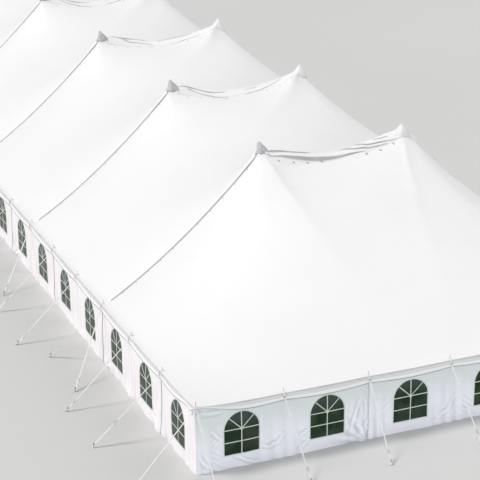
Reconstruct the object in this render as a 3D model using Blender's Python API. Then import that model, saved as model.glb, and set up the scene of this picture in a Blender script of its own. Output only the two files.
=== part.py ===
"""A large pole marquee with two rows of peaks, at half of full size.

The sheets of cloth are thin solid shells, and each stands or hangs on the poles and ropes that carry it.
"""

import math

import bmesh
import bpy
import numpy as np

for old in list(bpy.data.objects):
    bpy.data.objects.remove(old, do_unlink=True)

# Each size is the real one in metres, times SCALE. The thicknesses of cloth are the model's own.
SCALE = 0.5

# Layout of the plan: side poles stand one bay apart, and the roof is laced up from sections.
BAY = 3.048 * SCALE
BAYS_ACROSS = 6
BAYS_PER_SECTION = 3
SECTIONS = 6
WIDTH = BAYS_ACROSS * BAY
SECTION = BAYS_PER_SECTION * BAY
LENGTH = SECTIONS * SECTION

# Roof: eave, peaks and the sag of the cloth between them.
EAVE_HEIGHT = 2.3 * SCALE
PEAK_HEIGHT = 7.2 * SCALE
PEAK_INSET = 6.25 * SCALE
RIDGE_DIP = 0.57 * SCALE
SLOPE_SAG = 0.3
VALANCE_DROP = 0.2 * SCALE
PEAK_PULL = 0.75
PULL_REACH = 0.6 * SCALE

# Walls and their arched windows, one to a bay. The crown of an arch is measured down from the eave.
WINDOW_WIDTH = 1.2 * SCALE
WINDOW_SILL = 0.46 * SCALE
WINDOW_BELOW_EAVE = 0.37 * SCALE
FILM_MARGIN = 0.06 * SCALE
ARCH_STEPS = 8
END_PANELS = ("left", "middle", "right")

# Poles, caps, guys and stakes.
SIDE_POLE_RADIUS = 0.03 * SCALE
PIN_RADIUS = 0.013 * SCALE
PIN_RISE = 0.189 * SCALE
PIN_CLEARANCE = 0.001
CENTRE_POLE_RADIUS = 0.064 * SCALE
POLE_HEAD_RADIUS = 0.102 * SCALE
POLE_HEAD_DEPTH = 0.01
POLE_CHAMFER = 0.002
BASE_PLATE = 0.36 * SCALE
BASE_PLATE_DEPTH = 0.006
CAP_RADIUS = 0.19 * SCALE
CAP_HEIGHT = 0.476 * SCALE
CAP_MARGIN = 0.01 * SCALE
CAP_SHAPE = ((1.0, 0.0), (0.86, 0.35), (0.62, 0.66), (0.16, 0.9), (0.1, 1.0))
SIDE_POLE_SIDES = 6
CENTRE_POLE_SIDES = 8
CAP_SIDES = 10
SIDE_GUY_REACH = 2.4 * SCALE
END_GUY_REACH = 1.85 * SCALE
LACE_GUY_REACH = 1.7 * SCALE
LACE_GUY_SPREAD = 1.48 * SCALE
CORNER_SPLAY = 0.4 * SCALE
STRAP_WIDTH = 0.045 * SCALE
STRAP_DEPTH = 0.012 * SCALE
STAKE_RADIUS = 0.018 * SCALE
STAKE_HEIGHT = 0.18 * SCALE

# Thicknesses in the model, and the gap that pieces keep where they touch.
ROOF_SHEET = 0.005
WALL_SHEET = 0.004
FILM_SHEET = 0.002
WEBBING = 0.003
ROPE = 0.005
ROPE_BELOW_ROOF = 0.04
GAP = 0.0003

# How far a cutter stands past the sheet it cuts, and the height of the step between a pole and its pin.
CUT_PAST = 0.02
SHOULDER = 0.00001

# Planes stacked at the wall line, measured outwards and inwards from the walls' inner face.
ROOF_OUT = WALL_SHEET + GAP + ROOF_SHEET
BAND_IN = ROOF_OUT + GAP
BAND_OUT = BAND_IN + WEBBING
BAND_BELOW_EAVE = 0.01
BAND_TOP = EAVE_HEIGHT - BAND_BELOW_EAVE
BAND_DEPTH = 0.025
POLE_FACE = FILM_SHEET + 2 * GAP
POLE_INSET = POLE_FACE + SIDE_POLE_RADIUS
LEDGE_MARGIN = 0.01
LEDGE_DEPTH = POLE_INSET + SIDE_POLE_RADIUS + LEDGE_MARGIN
LEDGE_UNDERSIDE = EAVE_HEIGHT - ROOF_SHEET
WINDOW_SPRING = EAVE_HEIGHT - WINDOW_BELOW_EAVE - WINDOW_WIDTH / 2
PLATEAU = CAP_RADIUS + CAP_MARGIN
PEAK_X = WIDTH / 2 - PEAK_INSET
LACE_LINES = [-LENGTH / 2 + SECTION * k for k in range(1, SECTIONS)]


def material(name, colour, roughness, metallic=0.0, alpha=1.0):
    made = bpy.data.materials.new(name)
    made.use_nodes = True
    shader = made.node_tree.nodes["Principled BSDF"]
    shader.inputs["Base Color"].default_value = (*colour, 1.0)
    shader.inputs["Roughness"].default_value = roughness
    shader.inputs["Metallic"].default_value = metallic
    shader.inputs["Alpha"].default_value = alpha
    return made


ROOF_VINYL = material("roof_vinyl", (0.86, 0.86, 0.87), 0.45)
WALL_VINYL = material("wall_vinyl", (0.84, 0.86, 0.86), 0.5)
CAP_VINYL = material("cap_vinyl", (0.74, 0.73, 0.75), 0.55)
CLEAR_FILM = material("clear_film", (0.10, 0.14, 0.12), 0.12, alpha=0.5)
ALUMINIUM = material("aluminium", (0.72, 0.73, 0.74), 0.35, metallic=0.9)
GUY_WEBBING = material("guy_webbing", (0.80, 0.77, 0.68), 0.8)


def add_object(name, shape, look=None):
    """Makes an object of a bmesh. With no look it is a hidden cutter or a piece for a union."""
    mesh = bpy.data.meshes.new(name)
    bmesh.ops.recalc_face_normals(shape, faces=shape.faces)
    shape.to_mesh(mesh)
    shape.free()
    made = bpy.data.objects.new(name, mesh)
    bpy.context.collection.objects.link(made)
    if look is None:
        made.hide_render = True
        made.display_type = "WIRE"
    else:
        mesh.materials.append(look)
    return made


def combine(target, other, operation):
    step = target.modifiers.new(f"{operation.lower()} {other.name}", "BOOLEAN")
    step.operation = operation
    step.object = other


def add_box(shape, low, high):
    corners = bmesh.ops.create_cube(shape, size=1.0)["verts"]
    for corner in corners:
        for axis in range(3):
            corner.co[axis] = high[axis] if corner.co[axis] > 0 else low[axis]


def add_turned(shape, x, y, profile, sides):
    """Turns a profile of (radius, height) pairs about an upright axis, with flat faces toward the axes."""
    rings = []
    for radius, height in profile:
        ring = []
        for step in range(sides):
            angle = 2 * math.pi * (step + 0.5) / sides
            ring.append(shape.verts.new((x + radius * math.cos(angle), y + radius * math.sin(angle), height)))
        rings.append(ring)
    for lower, upper in zip(rings, rings[1:]):
        for step in range(sides):
            after = (step + 1) % sides
            shape.faces.new((lower[step], lower[after], upper[after], upper[step]))
    shape.faces.new(reversed(rings[0]))
    shape.faces.new(rings[-1])


def add_strap(shape, start, end, width_direction):
    """A flat strap from start to end. Its ends are cut upright, to lie in the plane of the eave webbing."""
    across = np.array(width_direction) * STRAP_WIDTH / 2
    upright = np.array((0.0, 0.0, STRAP_DEPTH / 2))
    corners = []
    for place in (start, end):
        for side, rise in ((-1, -1), (1, -1), (1, 1), (-1, 1)):
            corners.append(shape.verts.new(np.array(place) + across * side + upright * rise))
    for face in ((0, 1, 2, 3), (7, 6, 5, 4), (0, 4, 5, 1), (1, 5, 6, 2), (2, 6, 7, 3), (3, 7, 4, 0)):
        shape.faces.new([corners[k] for k in face])


def spaced(start, end, count):
    """The points after start, in even steps up to end."""
    return [start + (end - start) * step / count for step in range(1, count + 1)]


def lace_height(x):
    """Height of the roof along a lace line: a sagging slope, the flat seats and the dip between peaks."""
    out = abs(x)
    if out > PEAK_X + PLATEAU:
        foot = WIDTH / 2 - LEDGE_DEPTH
        rise = max(0.0, (foot - out) / (foot - PEAK_X - PLATEAU))
        return EAVE_HEIGHT + (PEAK_HEIGHT - EAVE_HEIGHT) * ((1 - SLOPE_SAG) * rise + SLOPE_SAG * rise**2)
    if out < PEAK_X - PLATEAU:
        return PEAK_HEIGHT - RIDGE_DIP * (1 - (out / (PEAK_X - PLATEAU)) ** 2)
    return PEAK_HEIGHT


def held_heights(xs, ys, laces):
    """Heights where the cloth is held: eave, lace lines and the seats of the caps. NaN is free."""
    held = np.full((len(xs), len(ys)), np.nan)
    for i, x in enumerate(xs):
        for j, y in enumerate(ys):
            nearest = min(abs(y - lace) for lace in laces)
            if abs(x) >= WIDTH / 2 - LEDGE_DEPTH - GAP or abs(y) >= LENGTH / 2 - LEDGE_DEPTH - GAP:
                held[i, j] = EAVE_HEIGHT
            elif nearest <= PLATEAU + GAP and abs(abs(x) - PEAK_X) <= PLATEAU + GAP:
                held[i, j] = PEAK_HEIGHT
            elif nearest <= GAP:
                held[i, j] = lace_height(x)
    return held


def stretched_heights(xs, ys, laces):
    """Balances the pull of the cloth at each free point. The cloth is stiffer near the peaks."""
    held = held_heights(xs, ys, laces)
    free = np.isnan(held)
    number = np.full(held.shape, -1)
    number[free] = np.arange(free.sum())
    pulls = np.zeros((free.sum(), free.sum()))
    loads = np.zeros(free.sum())
    peaks = [(side * PEAK_X, lace) for side in (-1, 1) for lace in laces]
    for i, j in zip(*np.nonzero(free)):
        row = number[i, j]
        for step_i, step_j in ((1, 0), (-1, 0), (0, 1), (0, -1)):
            a = i + step_i
            b = j + step_j
            length = abs(xs[a] - xs[i]) + abs(ys[b] - ys[j])
            across = (ys[j + 1] - ys[j - 1]) / 2 if step_i else (xs[i + 1] - xs[i - 1]) / 2
            middle = ((xs[i] + xs[a]) / 2, (ys[j] + ys[b]) / 2)
            stiffness = sum((math.dist(middle, peak) + PULL_REACH) ** -PEAK_PULL for peak in peaks)
            pull = stiffness * across / length
            pulls[row, row] += pull
            if free[a, b]:
                pulls[row, number[a, b]] -= pull
            else:
                loads[row] += pull * held[a, b]
    heights = held
    heights[free] = np.linalg.solve(pulls, loads)
    return heights


def roof_columns():
    """Lines of the roof's net across its width, from left to right."""
    edge = WIDTH / 2 + ROOF_OUT
    right = spaced(0.0, PEAK_X - PLATEAU, 2)
    right += [PEAK_X, PEAK_X + PLATEAU]
    right += spaced(PEAK_X + PLATEAU, WIDTH / 2 - LEDGE_DEPTH, 5)
    right += [edge - ROOF_SHEET, edge]
    return [-x for x in reversed(right)] + [0.0] + right


def roof_rows(section):
    """Lines of one section's net along the tent, from its front to its back."""
    start = -LENGTH / 2 + SECTION * section + GAP / 2
    end = start + SECTION - GAP
    steps = 2 * BAYS_PER_SECTION
    eave = LENGTH / 2 + ROOF_OUT
    if section == 0:
        front = [-eave, -eave + ROOF_SHEET, -LENGTH / 2 + LEDGE_DEPTH]
        return front + spaced(front[-1], end - PLATEAU, steps) + [end]
    if section == SECTIONS - 1:
        return [-y for y in reversed(roof_rows(0))]
    return [start, start + PLATEAU] + spaced(start + PLATEAU, end - PLATEAU, steps) + [end]


def lower(shape, geometry, drop):
    corners = [part for part in geometry if isinstance(part, bmesh.types.BMVert)]
    bmesh.ops.translate(shape, verts=corners, vec=(0, 0, -drop))


def add_roof_section(name, section, holes):
    xs = roof_columns()
    ys = roof_rows(section)
    start = -LENGTH / 2 + SECTION * section
    laces = [y for y in (start, start + SECTION) if abs(y) < LENGTH / 2 - GAP]
    heights = stretched_heights(xs, ys, laces)
    shape = bmesh.new()
    grid = [[shape.verts.new((x, y, heights[i, j])) for j, y in enumerate(ys)] for i, x in enumerate(xs)]
    for i in range(len(xs) - 1):
        for j in range(len(ys) - 1):
            shape.faces.new((grid[i][j], grid[i + 1][j], grid[i + 1][j + 1], grid[i][j + 1]))
    top = list(shape.faces)
    under = bmesh.ops.extrude_face_region(shape, geom=top, use_keep_orig=True)["geom"]
    lower(shape, under, ROOF_SHEET)
    rim = []
    for face in under:
        if isinstance(face, bmesh.types.BMFace):
            middle = face.calc_center_median()
            past_side = abs(middle.x) > WIDTH / 2 + ROOF_OUT - ROOF_SHEET
            past_end = abs(middle.y) > LENGTH / 2 + ROOF_OUT - ROOF_SHEET
            if past_side or past_end:
                rim.append(face)
    hem = bmesh.ops.extrude_face_region(shape, geom=rim)["geom"]
    lower(shape, hem, VALANCE_DROP - ROOF_SHEET)
    bmesh.ops.delete(shape, geom=rim, context="FACES_ONLY")
    made = add_object(name, shape, ROOF_VINYL)
    combine(made, holes, "DIFFERENCE")


def side_pole_places():
    """The side poles of each wall: the long walls have the corner poles."""
    long_places = [-LENGTH / 2 + BAY * k for k in range(1, SECTIONS * BAYS_PER_SECTION)]
    corner = LENGTH / 2 - POLE_INSET
    long_places = [-corner] + long_places + [corner]
    x = WIDTH / 2 - POLE_INSET
    y = LENGTH / 2 - POLE_INSET
    across = [-WIDTH / 2 + BAY * k for k in range(1, BAYS_ACROSS)]
    return {
        "left": [(-x, place) for place in long_places],
        "right": [(x, place) for place in long_places],
        "front": [(place, -y) for place in across],
        "back": [(place, y) for place in across],
    }


def add_pin_holes(places):
    shape = bmesh.new()
    radius = PIN_RADIUS + PIN_CLEARANCE
    profile = [(radius, EAVE_HEIGHT - CUT_PAST), (radius, EAVE_HEIGHT + CUT_PAST)]
    for wall in places.values():
        for x, y in wall:
            add_turned(shape, x, y, profile, SIDE_POLE_SIDES)
    return add_object("pin_holes", shape)


def wall_box(wall, along, through, heights):
    """Box beside one wall. through runs outwards from the wall's inner face, along runs right or back."""
    if wall in ("left", "right"):
        side = -1 if wall == "left" else 1
        faces = sorted(side * (WIDTH / 2 + depth) for depth in through)
        return (faces[0], along[0], heights[0]), (faces[1], along[1], heights[1])
    side = -1 if wall == "front" else 1
    faces = sorted(side * (LENGTH / 2 + depth) for depth in through)
    return (along[0], faces[0], heights[0]), (along[1], faces[1], heights[1])


def add_side_poles(wall, places):
    """The poles of one wall with the rope that the wall hangs from, which runs from pole to pole."""
    rope_top = LEDGE_UNDERSIDE - ROPE_BELOW_ROOF
    long_wall = wall in ("left", "right")
    end = LENGTH / 2 - POLE_INSET if long_wall else WIDTH / 2 - POLE_INSET - SIDE_POLE_RADIUS - GAP
    rope = bmesh.new()
    through = (-POLE_FACE - ROPE, -POLE_FACE - GAP)
    add_box(rope, *wall_box(wall, (-end, end), through, (rope_top - ROPE, rope_top)))
    made = add_object(f"side_poles_{wall}", rope, ALUMINIUM)
    poles = bmesh.new()
    top = LEDGE_UNDERSIDE - GAP
    radius = SIDE_POLE_RADIUS
    profile = [(radius, 0.0), (radius, top), (PIN_RADIUS, top + SHOULDER), (PIN_RADIUS, EAVE_HEIGHT + PIN_RISE)]
    for x, y in places:
        add_turned(poles, x, y, profile, SIDE_POLE_SIDES)
    combine(made, add_object(f"poles_on_{wall}", poles), "UNION")


def guy_point(wall, along, out, height):
    """A point beside a wall, out from its inner face."""
    side = -1 if wall in ("left", "front") else 1
    if wall in ("left", "right"):
        return (side * (WIDTH / 2 + out), along, height)
    return (along, side * (LENGTH / 2 + out), height)


def guy_feet(wall, along):
    """The straps of one pole as (shift, spread, reach), from the webbing out to the stakes."""
    if wall in ("front", "back"):
        return [(0.0, 0.0, END_GUY_REACH)]
    if min(abs(along - lace) for lace in LACE_LINES) < GAP:
        return [(side * STRAP_WIDTH, side * LACE_GUY_SPREAD, LACE_GUY_REACH) for side in (-1, 1)]
    if abs(along) > LENGTH / 2 - BAY / 2:
        return [(0.0, math.copysign(CORNER_SPLAY, along), SIDE_GUY_REACH)]
    return [(0.0, 0.0, SIDE_GUY_REACH)]


def add_guys(wall, places):
    """The eave webbing of one wall with its guy straps and their stakes."""
    long_wall = wall in ("left", "right")
    end = LENGTH / 2 + BAND_OUT if long_wall else WIDTH / 2 + BAND_IN - GAP
    band = bmesh.new()
    add_box(band, *wall_box(wall, (-end, end), (BAND_IN, BAND_OUT), (BAND_TOP - BAND_DEPTH, BAND_TOP)))
    made = add_object(f"guys_{wall}", band, GUY_WEBBING)
    straps = bmesh.new()
    stakes = bmesh.new()
    corner = WIDTH / 2 - POLE_INSET
    alongs = [y for x, y in places] if long_wall else [-corner] + [x for x, y in places] + [corner]
    for along in alongs:
        for shift, spread, reach in guy_feet(wall, along):
            start = guy_point(wall, along + shift, (BAND_IN + BAND_OUT) / 2, BAND_TOP - BAND_DEPTH / 2)
            foot = guy_point(wall, along + shift + spread, reach, STAKE_HEIGHT / 2)
            add_strap(straps, start, foot, (0, 1, 0) if long_wall else (1, 0, 0))
            stake = [(STAKE_RADIUS, 0.0), (STAKE_RADIUS, STAKE_HEIGHT)]
            add_turned(stakes, foot[0], foot[1], stake, SIDE_POLE_SIDES)
    combine(made, add_object(f"straps_of_{wall}", straps), "UNION")
    combine(made, add_object(f"stakes_of_{wall}", stakes), "UNION")


def add_wall_panel(name, wall, start, end, window_middles):
    """One flat panel of wall with its arched windows cut through."""
    shape = bmesh.new()
    add_box(shape, *wall_box(wall, (start, end), (0.0, WALL_SHEET), (0.0, LEDGE_UNDERSIDE - GAP)))
    made = add_object(name, shape, WALL_VINYL)
    cutter = bmesh.new()
    radius = WINDOW_WIDTH / 2
    for middle in window_middles:
        outline = [(middle + radius, WINDOW_SILL), (middle + radius, WINDOW_SPRING)]
        for step in range(1, ARCH_STEPS):
            angle = math.pi * step / ARCH_STEPS
            outline.append((middle + radius * math.cos(angle), WINDOW_SPRING + radius * math.sin(angle)))
        outline += [(middle - radius, WINDOW_SPRING), (middle - radius, WINDOW_SILL)]
        rings = []
        for depth in (-CUT_PAST, WALL_SHEET + CUT_PAST):
            side = {"left": -1, "right": 1, "front": -1, "back": 1}[wall]
            if wall in ("left", "right"):
                rings.append([cutter.verts.new((side * (WIDTH / 2 + depth), a, z)) for a, z in outline])
            else:
                rings.append([cutter.verts.new((a, side * (LENGTH / 2 + depth), z)) for a, z in outline])
        near, far = rings
        count = len(outline)
        for step in range(count):
            after = (step + 1) % count
            cutter.faces.new((near[step], near[after], far[after], far[step]))
        cutter.faces.new(near)
        cutter.faces.new(far)
    combine(made, add_object(f"windows_of_{name}", cutter), "DIFFERENCE")


def add_walls():
    for wall in ("left", "right"):
        for section in range(SECTIONS):
            start = -LENGTH / 2 + SECTION * section
            middles = [start + BAY * (k + 0.5) for k in range(BAYS_PER_SECTION)]
            low = start + GAP / 2 if section else start - WALL_SHEET
            high = start + SECTION - GAP / 2 if section < SECTIONS - 1 else start + SECTION + WALL_SHEET
            add_wall_panel(f"wall_{wall}_{section + 1}", wall, low, high, middles)
    bays = BAYS_ACROSS // len(END_PANELS)
    for wall in ("front", "back"):
        for number, panel in enumerate(END_PANELS):
            start = -WIDTH / 2 + BAY * bays * number
            middles = [start + BAY * (k + 0.5) for k in range(bays)]
            low = start + GAP / 2 if number else start + GAP
            high = start + BAY * bays - (GAP if panel == END_PANELS[-1] else GAP / 2)
            add_wall_panel(f"wall_{wall}_{panel}", wall, low, high, middles)


def add_films():
    """One clear sheet behind the windows of each wall."""
    low = WINDOW_SILL - FILM_MARGIN
    high = WINDOW_SPRING + WINDOW_WIDTH / 2 + FILM_MARGIN
    past_windows = BAY / 2 - WINDOW_WIDTH / 2 - FILM_MARGIN
    for wall, full in (("left", LENGTH), ("right", LENGTH), ("front", WIDTH), ("back", WIDTH)):
        shape = bmesh.new()
        end = full / 2 - past_windows
        add_box(shape, *wall_box(wall, (-end, end), (-GAP - FILM_SHEET, -GAP), (low, high)))
        add_object(f"window_film_{wall}", shape, CLEAR_FILM)


def add_peaks():
    """A centre pole under each peak and the cap that covers the top of it."""
    pole_top = PEAK_HEIGHT - ROOF_SHEET - GAP
    head_base = pole_top - POLE_HEAD_DEPTH
    seat = PEAK_HEIGHT + GAP
    for row, y in enumerate(LACE_LINES, start=1):
        for side, x in (("left", -PEAK_X), ("right", PEAK_X)):
            pole = bmesh.new()
            profile = [
                (CENTRE_POLE_RADIUS, BASE_PLATE_DEPTH / 2),
                (CENTRE_POLE_RADIUS, head_base - POLE_CHAMFER),
                (POLE_HEAD_RADIUS, head_base),
                (POLE_HEAD_RADIUS, pole_top),
            ]
            add_turned(pole, x, y, profile, CENTRE_POLE_SIDES)
            base = bmesh.new()
            half = BASE_PLATE / 2
            add_box(base, (x - half, y - half, 0), (x + half, y + half, BASE_PLATE_DEPTH))
            made = add_object(f"centre_pole_{row}_{side}", base, ALUMINIUM)
            combine(made, add_object(f"shaft_{row}_{side}", pole), "UNION")
            cap = bmesh.new()
            cap_profile = [(CAP_RADIUS * wide, seat + CAP_HEIGHT * high) for wide, high in CAP_SHAPE]
            add_turned(cap, x, y, cap_profile, CAP_SIDES)
            add_object(f"peak_cap_{row}_{side}", cap, CAP_VINYL)


def main():
    places = side_pole_places()
    holes = add_pin_holes(places)
    for section in range(SECTIONS):
        if section in (0, SECTIONS - 1):
            name = "roof_front_end" if section == 0 else "roof_back_end"
        else:
            name = f"roof_middle_{section}"
        add_roof_section(name, section, holes)
    add_peaks()
    add_walls()
    add_films()
    for wall, poles in places.items():
        add_side_poles(wall, poles)
        add_guys(wall, poles)


main()
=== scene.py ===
import math
import bpy
import numpy as np
from mathutils import Matrix, Vector, noise


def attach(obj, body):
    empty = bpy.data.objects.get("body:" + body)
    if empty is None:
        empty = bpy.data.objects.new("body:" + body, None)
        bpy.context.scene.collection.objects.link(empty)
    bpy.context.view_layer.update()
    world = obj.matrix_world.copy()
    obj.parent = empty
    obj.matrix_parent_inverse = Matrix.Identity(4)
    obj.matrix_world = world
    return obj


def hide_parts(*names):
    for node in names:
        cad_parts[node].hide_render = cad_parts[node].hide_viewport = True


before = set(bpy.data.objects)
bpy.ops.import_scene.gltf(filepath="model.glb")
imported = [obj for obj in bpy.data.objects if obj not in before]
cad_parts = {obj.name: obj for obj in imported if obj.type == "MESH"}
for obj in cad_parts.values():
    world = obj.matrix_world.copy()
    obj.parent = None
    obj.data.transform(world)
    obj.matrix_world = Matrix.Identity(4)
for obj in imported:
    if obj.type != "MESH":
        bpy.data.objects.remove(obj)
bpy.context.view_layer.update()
print("frame loaded")

# The tent is at half of full size, in metres. Front is -Y and left is -X.
tent = {
    "halfWidth": 4.572,
    "halfLength": 13.716,
    "bay": 1.524,
    "section": 4.572,
    "eave": 1.15,
    "edge": 0.0093,
    "peak": 3.6,
    "peakX": 1.447,
    "seat": 0.1,
    "ledge": 0.0426,
    "ridgeDip": 0.25,
    "slopeSag": 0.3,
    "peakPull": 0.75,
    "pullReach": 0.3,
}
laceLines = [tent["section"] * k for k in range(-2, 3)]

cameraView = {
    "place": (-12.878, -35.420, 12.961),
    "yaw": 22.733,
    "pitch": 21.079,
    "roll": -0.478,
    "lens": 124.04,
}


def clearSelection():
    if bpy.context.mode != "OBJECT":
        bpy.ops.object.mode_set(mode="OBJECT")
    bpy.ops.object.select_all(action="DESELECT")


def choose(piece):
    clearSelection()
    piece.select_set(True)
    bpy.context.view_layer.objects.active = piece


def applyPlace(piece):
    choose(piece)
    bpy.ops.object.transform_apply(location=True, rotation=True, scale=True)


def applyModifiers(piece):
    choose(piece)
    for modifier in list(piece.modifiers):
        bpy.ops.object.modifier_apply(modifier=modifier.name)


def addShape(add, scale=(1, 1, 1), **settings):
    # a primitive with its place, turn and scale applied
    clearSelection()
    add(**settings)
    piece = bpy.context.object
    piece.scale = scale
    applyPlace(piece)
    return piece


def thicken(piece, thickness, offset):
    skin = piece.modifiers.new("skin", "SOLIDIFY")
    skin.thickness = thickness
    skin.offset = offset
    applyModifiers(piece)


def bevelEdges(piece, width, segments=1):
    edge = piece.modifiers.new("edge", "BEVEL")
    edge.width = width
    edge.segments = segments
    applyModifiers(piece)
    return piece


def slicePiece(piece, axis, places):
    # cuts new edges into a piece at places along an axis
    choose(piece)
    bpy.ops.object.mode_set(mode="EDIT")
    for place in places:
        bpy.ops.mesh.select_all(action="SELECT")
        bpy.ops.mesh.bisect(plane_co=[place * part for part in axis], plane_no=axis)
    bpy.ops.object.mode_set(mode="OBJECT")


def cleanPiece(piece, gap=0.00005):
    # merges what lies closer than the gap and turns the normals outward
    choose(piece)
    bpy.ops.object.mode_set(mode="EDIT")
    bpy.ops.mesh.select_all(action="SELECT")
    if gap:
        bpy.ops.mesh.remove_doubles(threshold=gap)
        bpy.ops.mesh.select_all(action="SELECT")
    bpy.ops.mesh.normals_make_consistent(inside=False)
    bpy.ops.object.mode_set(mode="OBJECT")
    return piece


def readPoints(piece):
    points = np.empty(len(piece.data.vertices) * 3)
    piece.data.vertices.foreach_get("co", points)
    return points.reshape(-1, 3)


def writePoints(piece, points):
    piece.data.vertices.foreach_set("co", np.ascontiguousarray(points, dtype=np.float64).ravel())
    piece.data.update()


def writeMap(piece, flat):
    # the cloth's own map, in metres, so that weave and seams follow the surface
    layer = piece.data.uv_layers.active or piece.data.uv_layers.new(name="clothMap")
    layer.name = "clothMap"
    corners = np.empty(len(piece.data.loops), dtype=np.int32)
    piece.data.loops.foreach_get("vertex_index", corners)
    layer.data.foreach_set("uv", np.ascontiguousarray(flat[corners], dtype=np.float32).ravel())


def smoothStep(value, low, high):
    share = np.clip((value - low) / (high - low), 0, 1)
    return share * share * (3 - 2 * share)


def joinPieces(pieces):
    clearSelection()
    for piece in pieces:
        piece.select_set(True)
    bpy.context.view_layer.objects.active = pieces[0]
    bpy.ops.object.join()
    return pieces[0]


def copyPiece(master, matrix=Matrix.Identity(4)):
    made = master.copy()
    made.data = master.data.copy()
    made.data.transform(matrix)
    bpy.context.collection.objects.link(made)
    return made


def removePieces(pieces):
    for piece in pieces:
        bpy.data.objects.remove(piece)


def camel(node):
    first, *others = node.split("_")
    return first + "".join(word.capitalize() for word in others)


def finishPiece(piece, look, smooth, name="", node=""):
    # a piece that stands for a CAD node takes its name from it
    piece.name = piece.data.name = name or camel(node)
    if look:
        piece.data.materials.clear()
        piece.data.materials.append(look)
    choose(piece)
    bpy.ops.object.shade_smooth_by_angle(angle=math.radians(smooth))
    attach(piece, "root")
    if node:
        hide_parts(node)


def addCamera():
    yaw = math.radians(cameraView["yaw"])
    pitch = math.radians(cameraView["pitch"])
    roll = math.radians(cameraView["roll"])
    ahead = Vector((math.sin(yaw) * math.cos(pitch), math.cos(yaw) * math.cos(pitch), -math.sin(pitch)))
    level = Vector((math.cos(yaw), -math.sin(yaw), 0))
    upright = level.cross(ahead)
    right = level * math.cos(roll) + upright * math.sin(roll)
    up = upright * math.cos(roll) - level * math.sin(roll)
    turn = Matrix((right, up, -ahead)).transposed()
    bpy.ops.object.camera_add(location=cameraView["place"], rotation=turn.to_euler())
    camera = bpy.context.object
    camera.data.lens = cameraView["lens"]
    camera.data.sensor_width = 36
    camera.data.clip_start = 1
    camera.data.clip_end = 2000
    bpy.context.scene.camera = camera


# Each sun: where it shines from, its strength, its width in degrees and its colour.
suns = [
    ((-0.50, 0.16, 0.85), 1.80, 14, (1.0, 0.99, 0.975)),
    ((-0.80, -0.50, 0.12), 1.04, 26, (1.0, 0.98, 0.985)),
    ((0.25, -0.95, 0.12), 0.50, 45, (0.97, 0.985, 1.0)),
    ((0.85, 0.10, 0.50), 0.95, 60, (1.0, 1.0, 1.0)),
]
sky = {"colour": (0.97, 0.985, 1.0, 1.0), "strength": 0.345}


def addSun(towards, strength, size, colour):
    towards = Vector(towards).normalized()
    bpy.ops.object.light_add(type="SUN", location=towards * 40, rotation=towards.to_track_quat("Z", "Y").to_euler())
    sun = bpy.context.object.data
    sun.energy = strength
    sun.angle = math.radians(size)
    sun.color = colour


def addLight():
    for sun in suns:
        addSun(*sun)
    world = bpy.data.worlds.new("softSky")
    bpy.context.scene.world = world
    world.use_nodes = True
    background = world.node_tree.nodes["Background"]
    background.inputs["Color"].default_value = sky["colour"]
    background.inputs["Strength"].default_value = sky["strength"]
    view = bpy.context.scene.view_settings
    view.view_transform = "Standard"
    view.look = "None"
    view.exposure = 0
    view.gamma = 1


def newMaterial(name):
    made = bpy.data.materials.new(name)
    made.use_nodes = True
    return made, made.node_tree, made.node_tree.nodes["Principled BSDF"]


def setInputs(tree, node, values):
    # a value is a number, a colour or what another node gives
    for key, value in values.items():
        socket = node.inputs[key]
        if isinstance(value, bpy.types.NodeSocket):
            tree.links.new(value, socket)
        elif socket.type == "RGBA":
            socket.default_value = (*value, 1)
        else:
            socket.default_value = value


def put(tree, kind, settings=None, inputs=None):
    node = tree.nodes.new(kind)
    for key, value in (settings or {}).items():
        setattr(node, key, value)
    setInputs(tree, node, inputs or {})
    return node


def mixColours(tree, factor, first, second, blend="MIX"):
    inputs = {0: factor, 6: first, 7: second}
    return put(tree, "ShaderNodeMix", {"data_type": "RGBA", "blend_type": blend}, inputs).outputs[2]


def mapRange(tree, value, low, high, outLow, outHigh, smooth=False):
    inputs = {"Value": value, "From Min": low, "From Max": high, "To Min": outLow, "To Max": outHigh}
    kind = "SMOOTHSTEP" if smooth else "LINEAR"
    return put(tree, "ShaderNodeMapRange", {"interpolation_type": kind}, inputs).outputs["Result"]


def doMath(tree, operation, first, second=None):
    inputs = {0: first} if second is None else {0: first, 1: second}
    return put(tree, "ShaderNodeMath", {"operation": operation}, inputs).outputs[0]


def objectPlace(tree):
    return put(tree, "ShaderNodeTexCoord").outputs["Object"]


def cloudsAt(tree, place, scale, detail, **more):
    inputs = {"Vector": place, "Scale": scale, "Detail": detail, **more}
    return put(tree, "ShaderNodeTexNoise", {}, inputs).outputs["Fac"]


def bumpOf(tree, height, distance, strength, **below):
    inputs = {"Height": height, "Distance": distance, "Strength": strength, **below}
    return put(tree, "ShaderNodeBump", {}, inputs).outputs[0]


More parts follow.
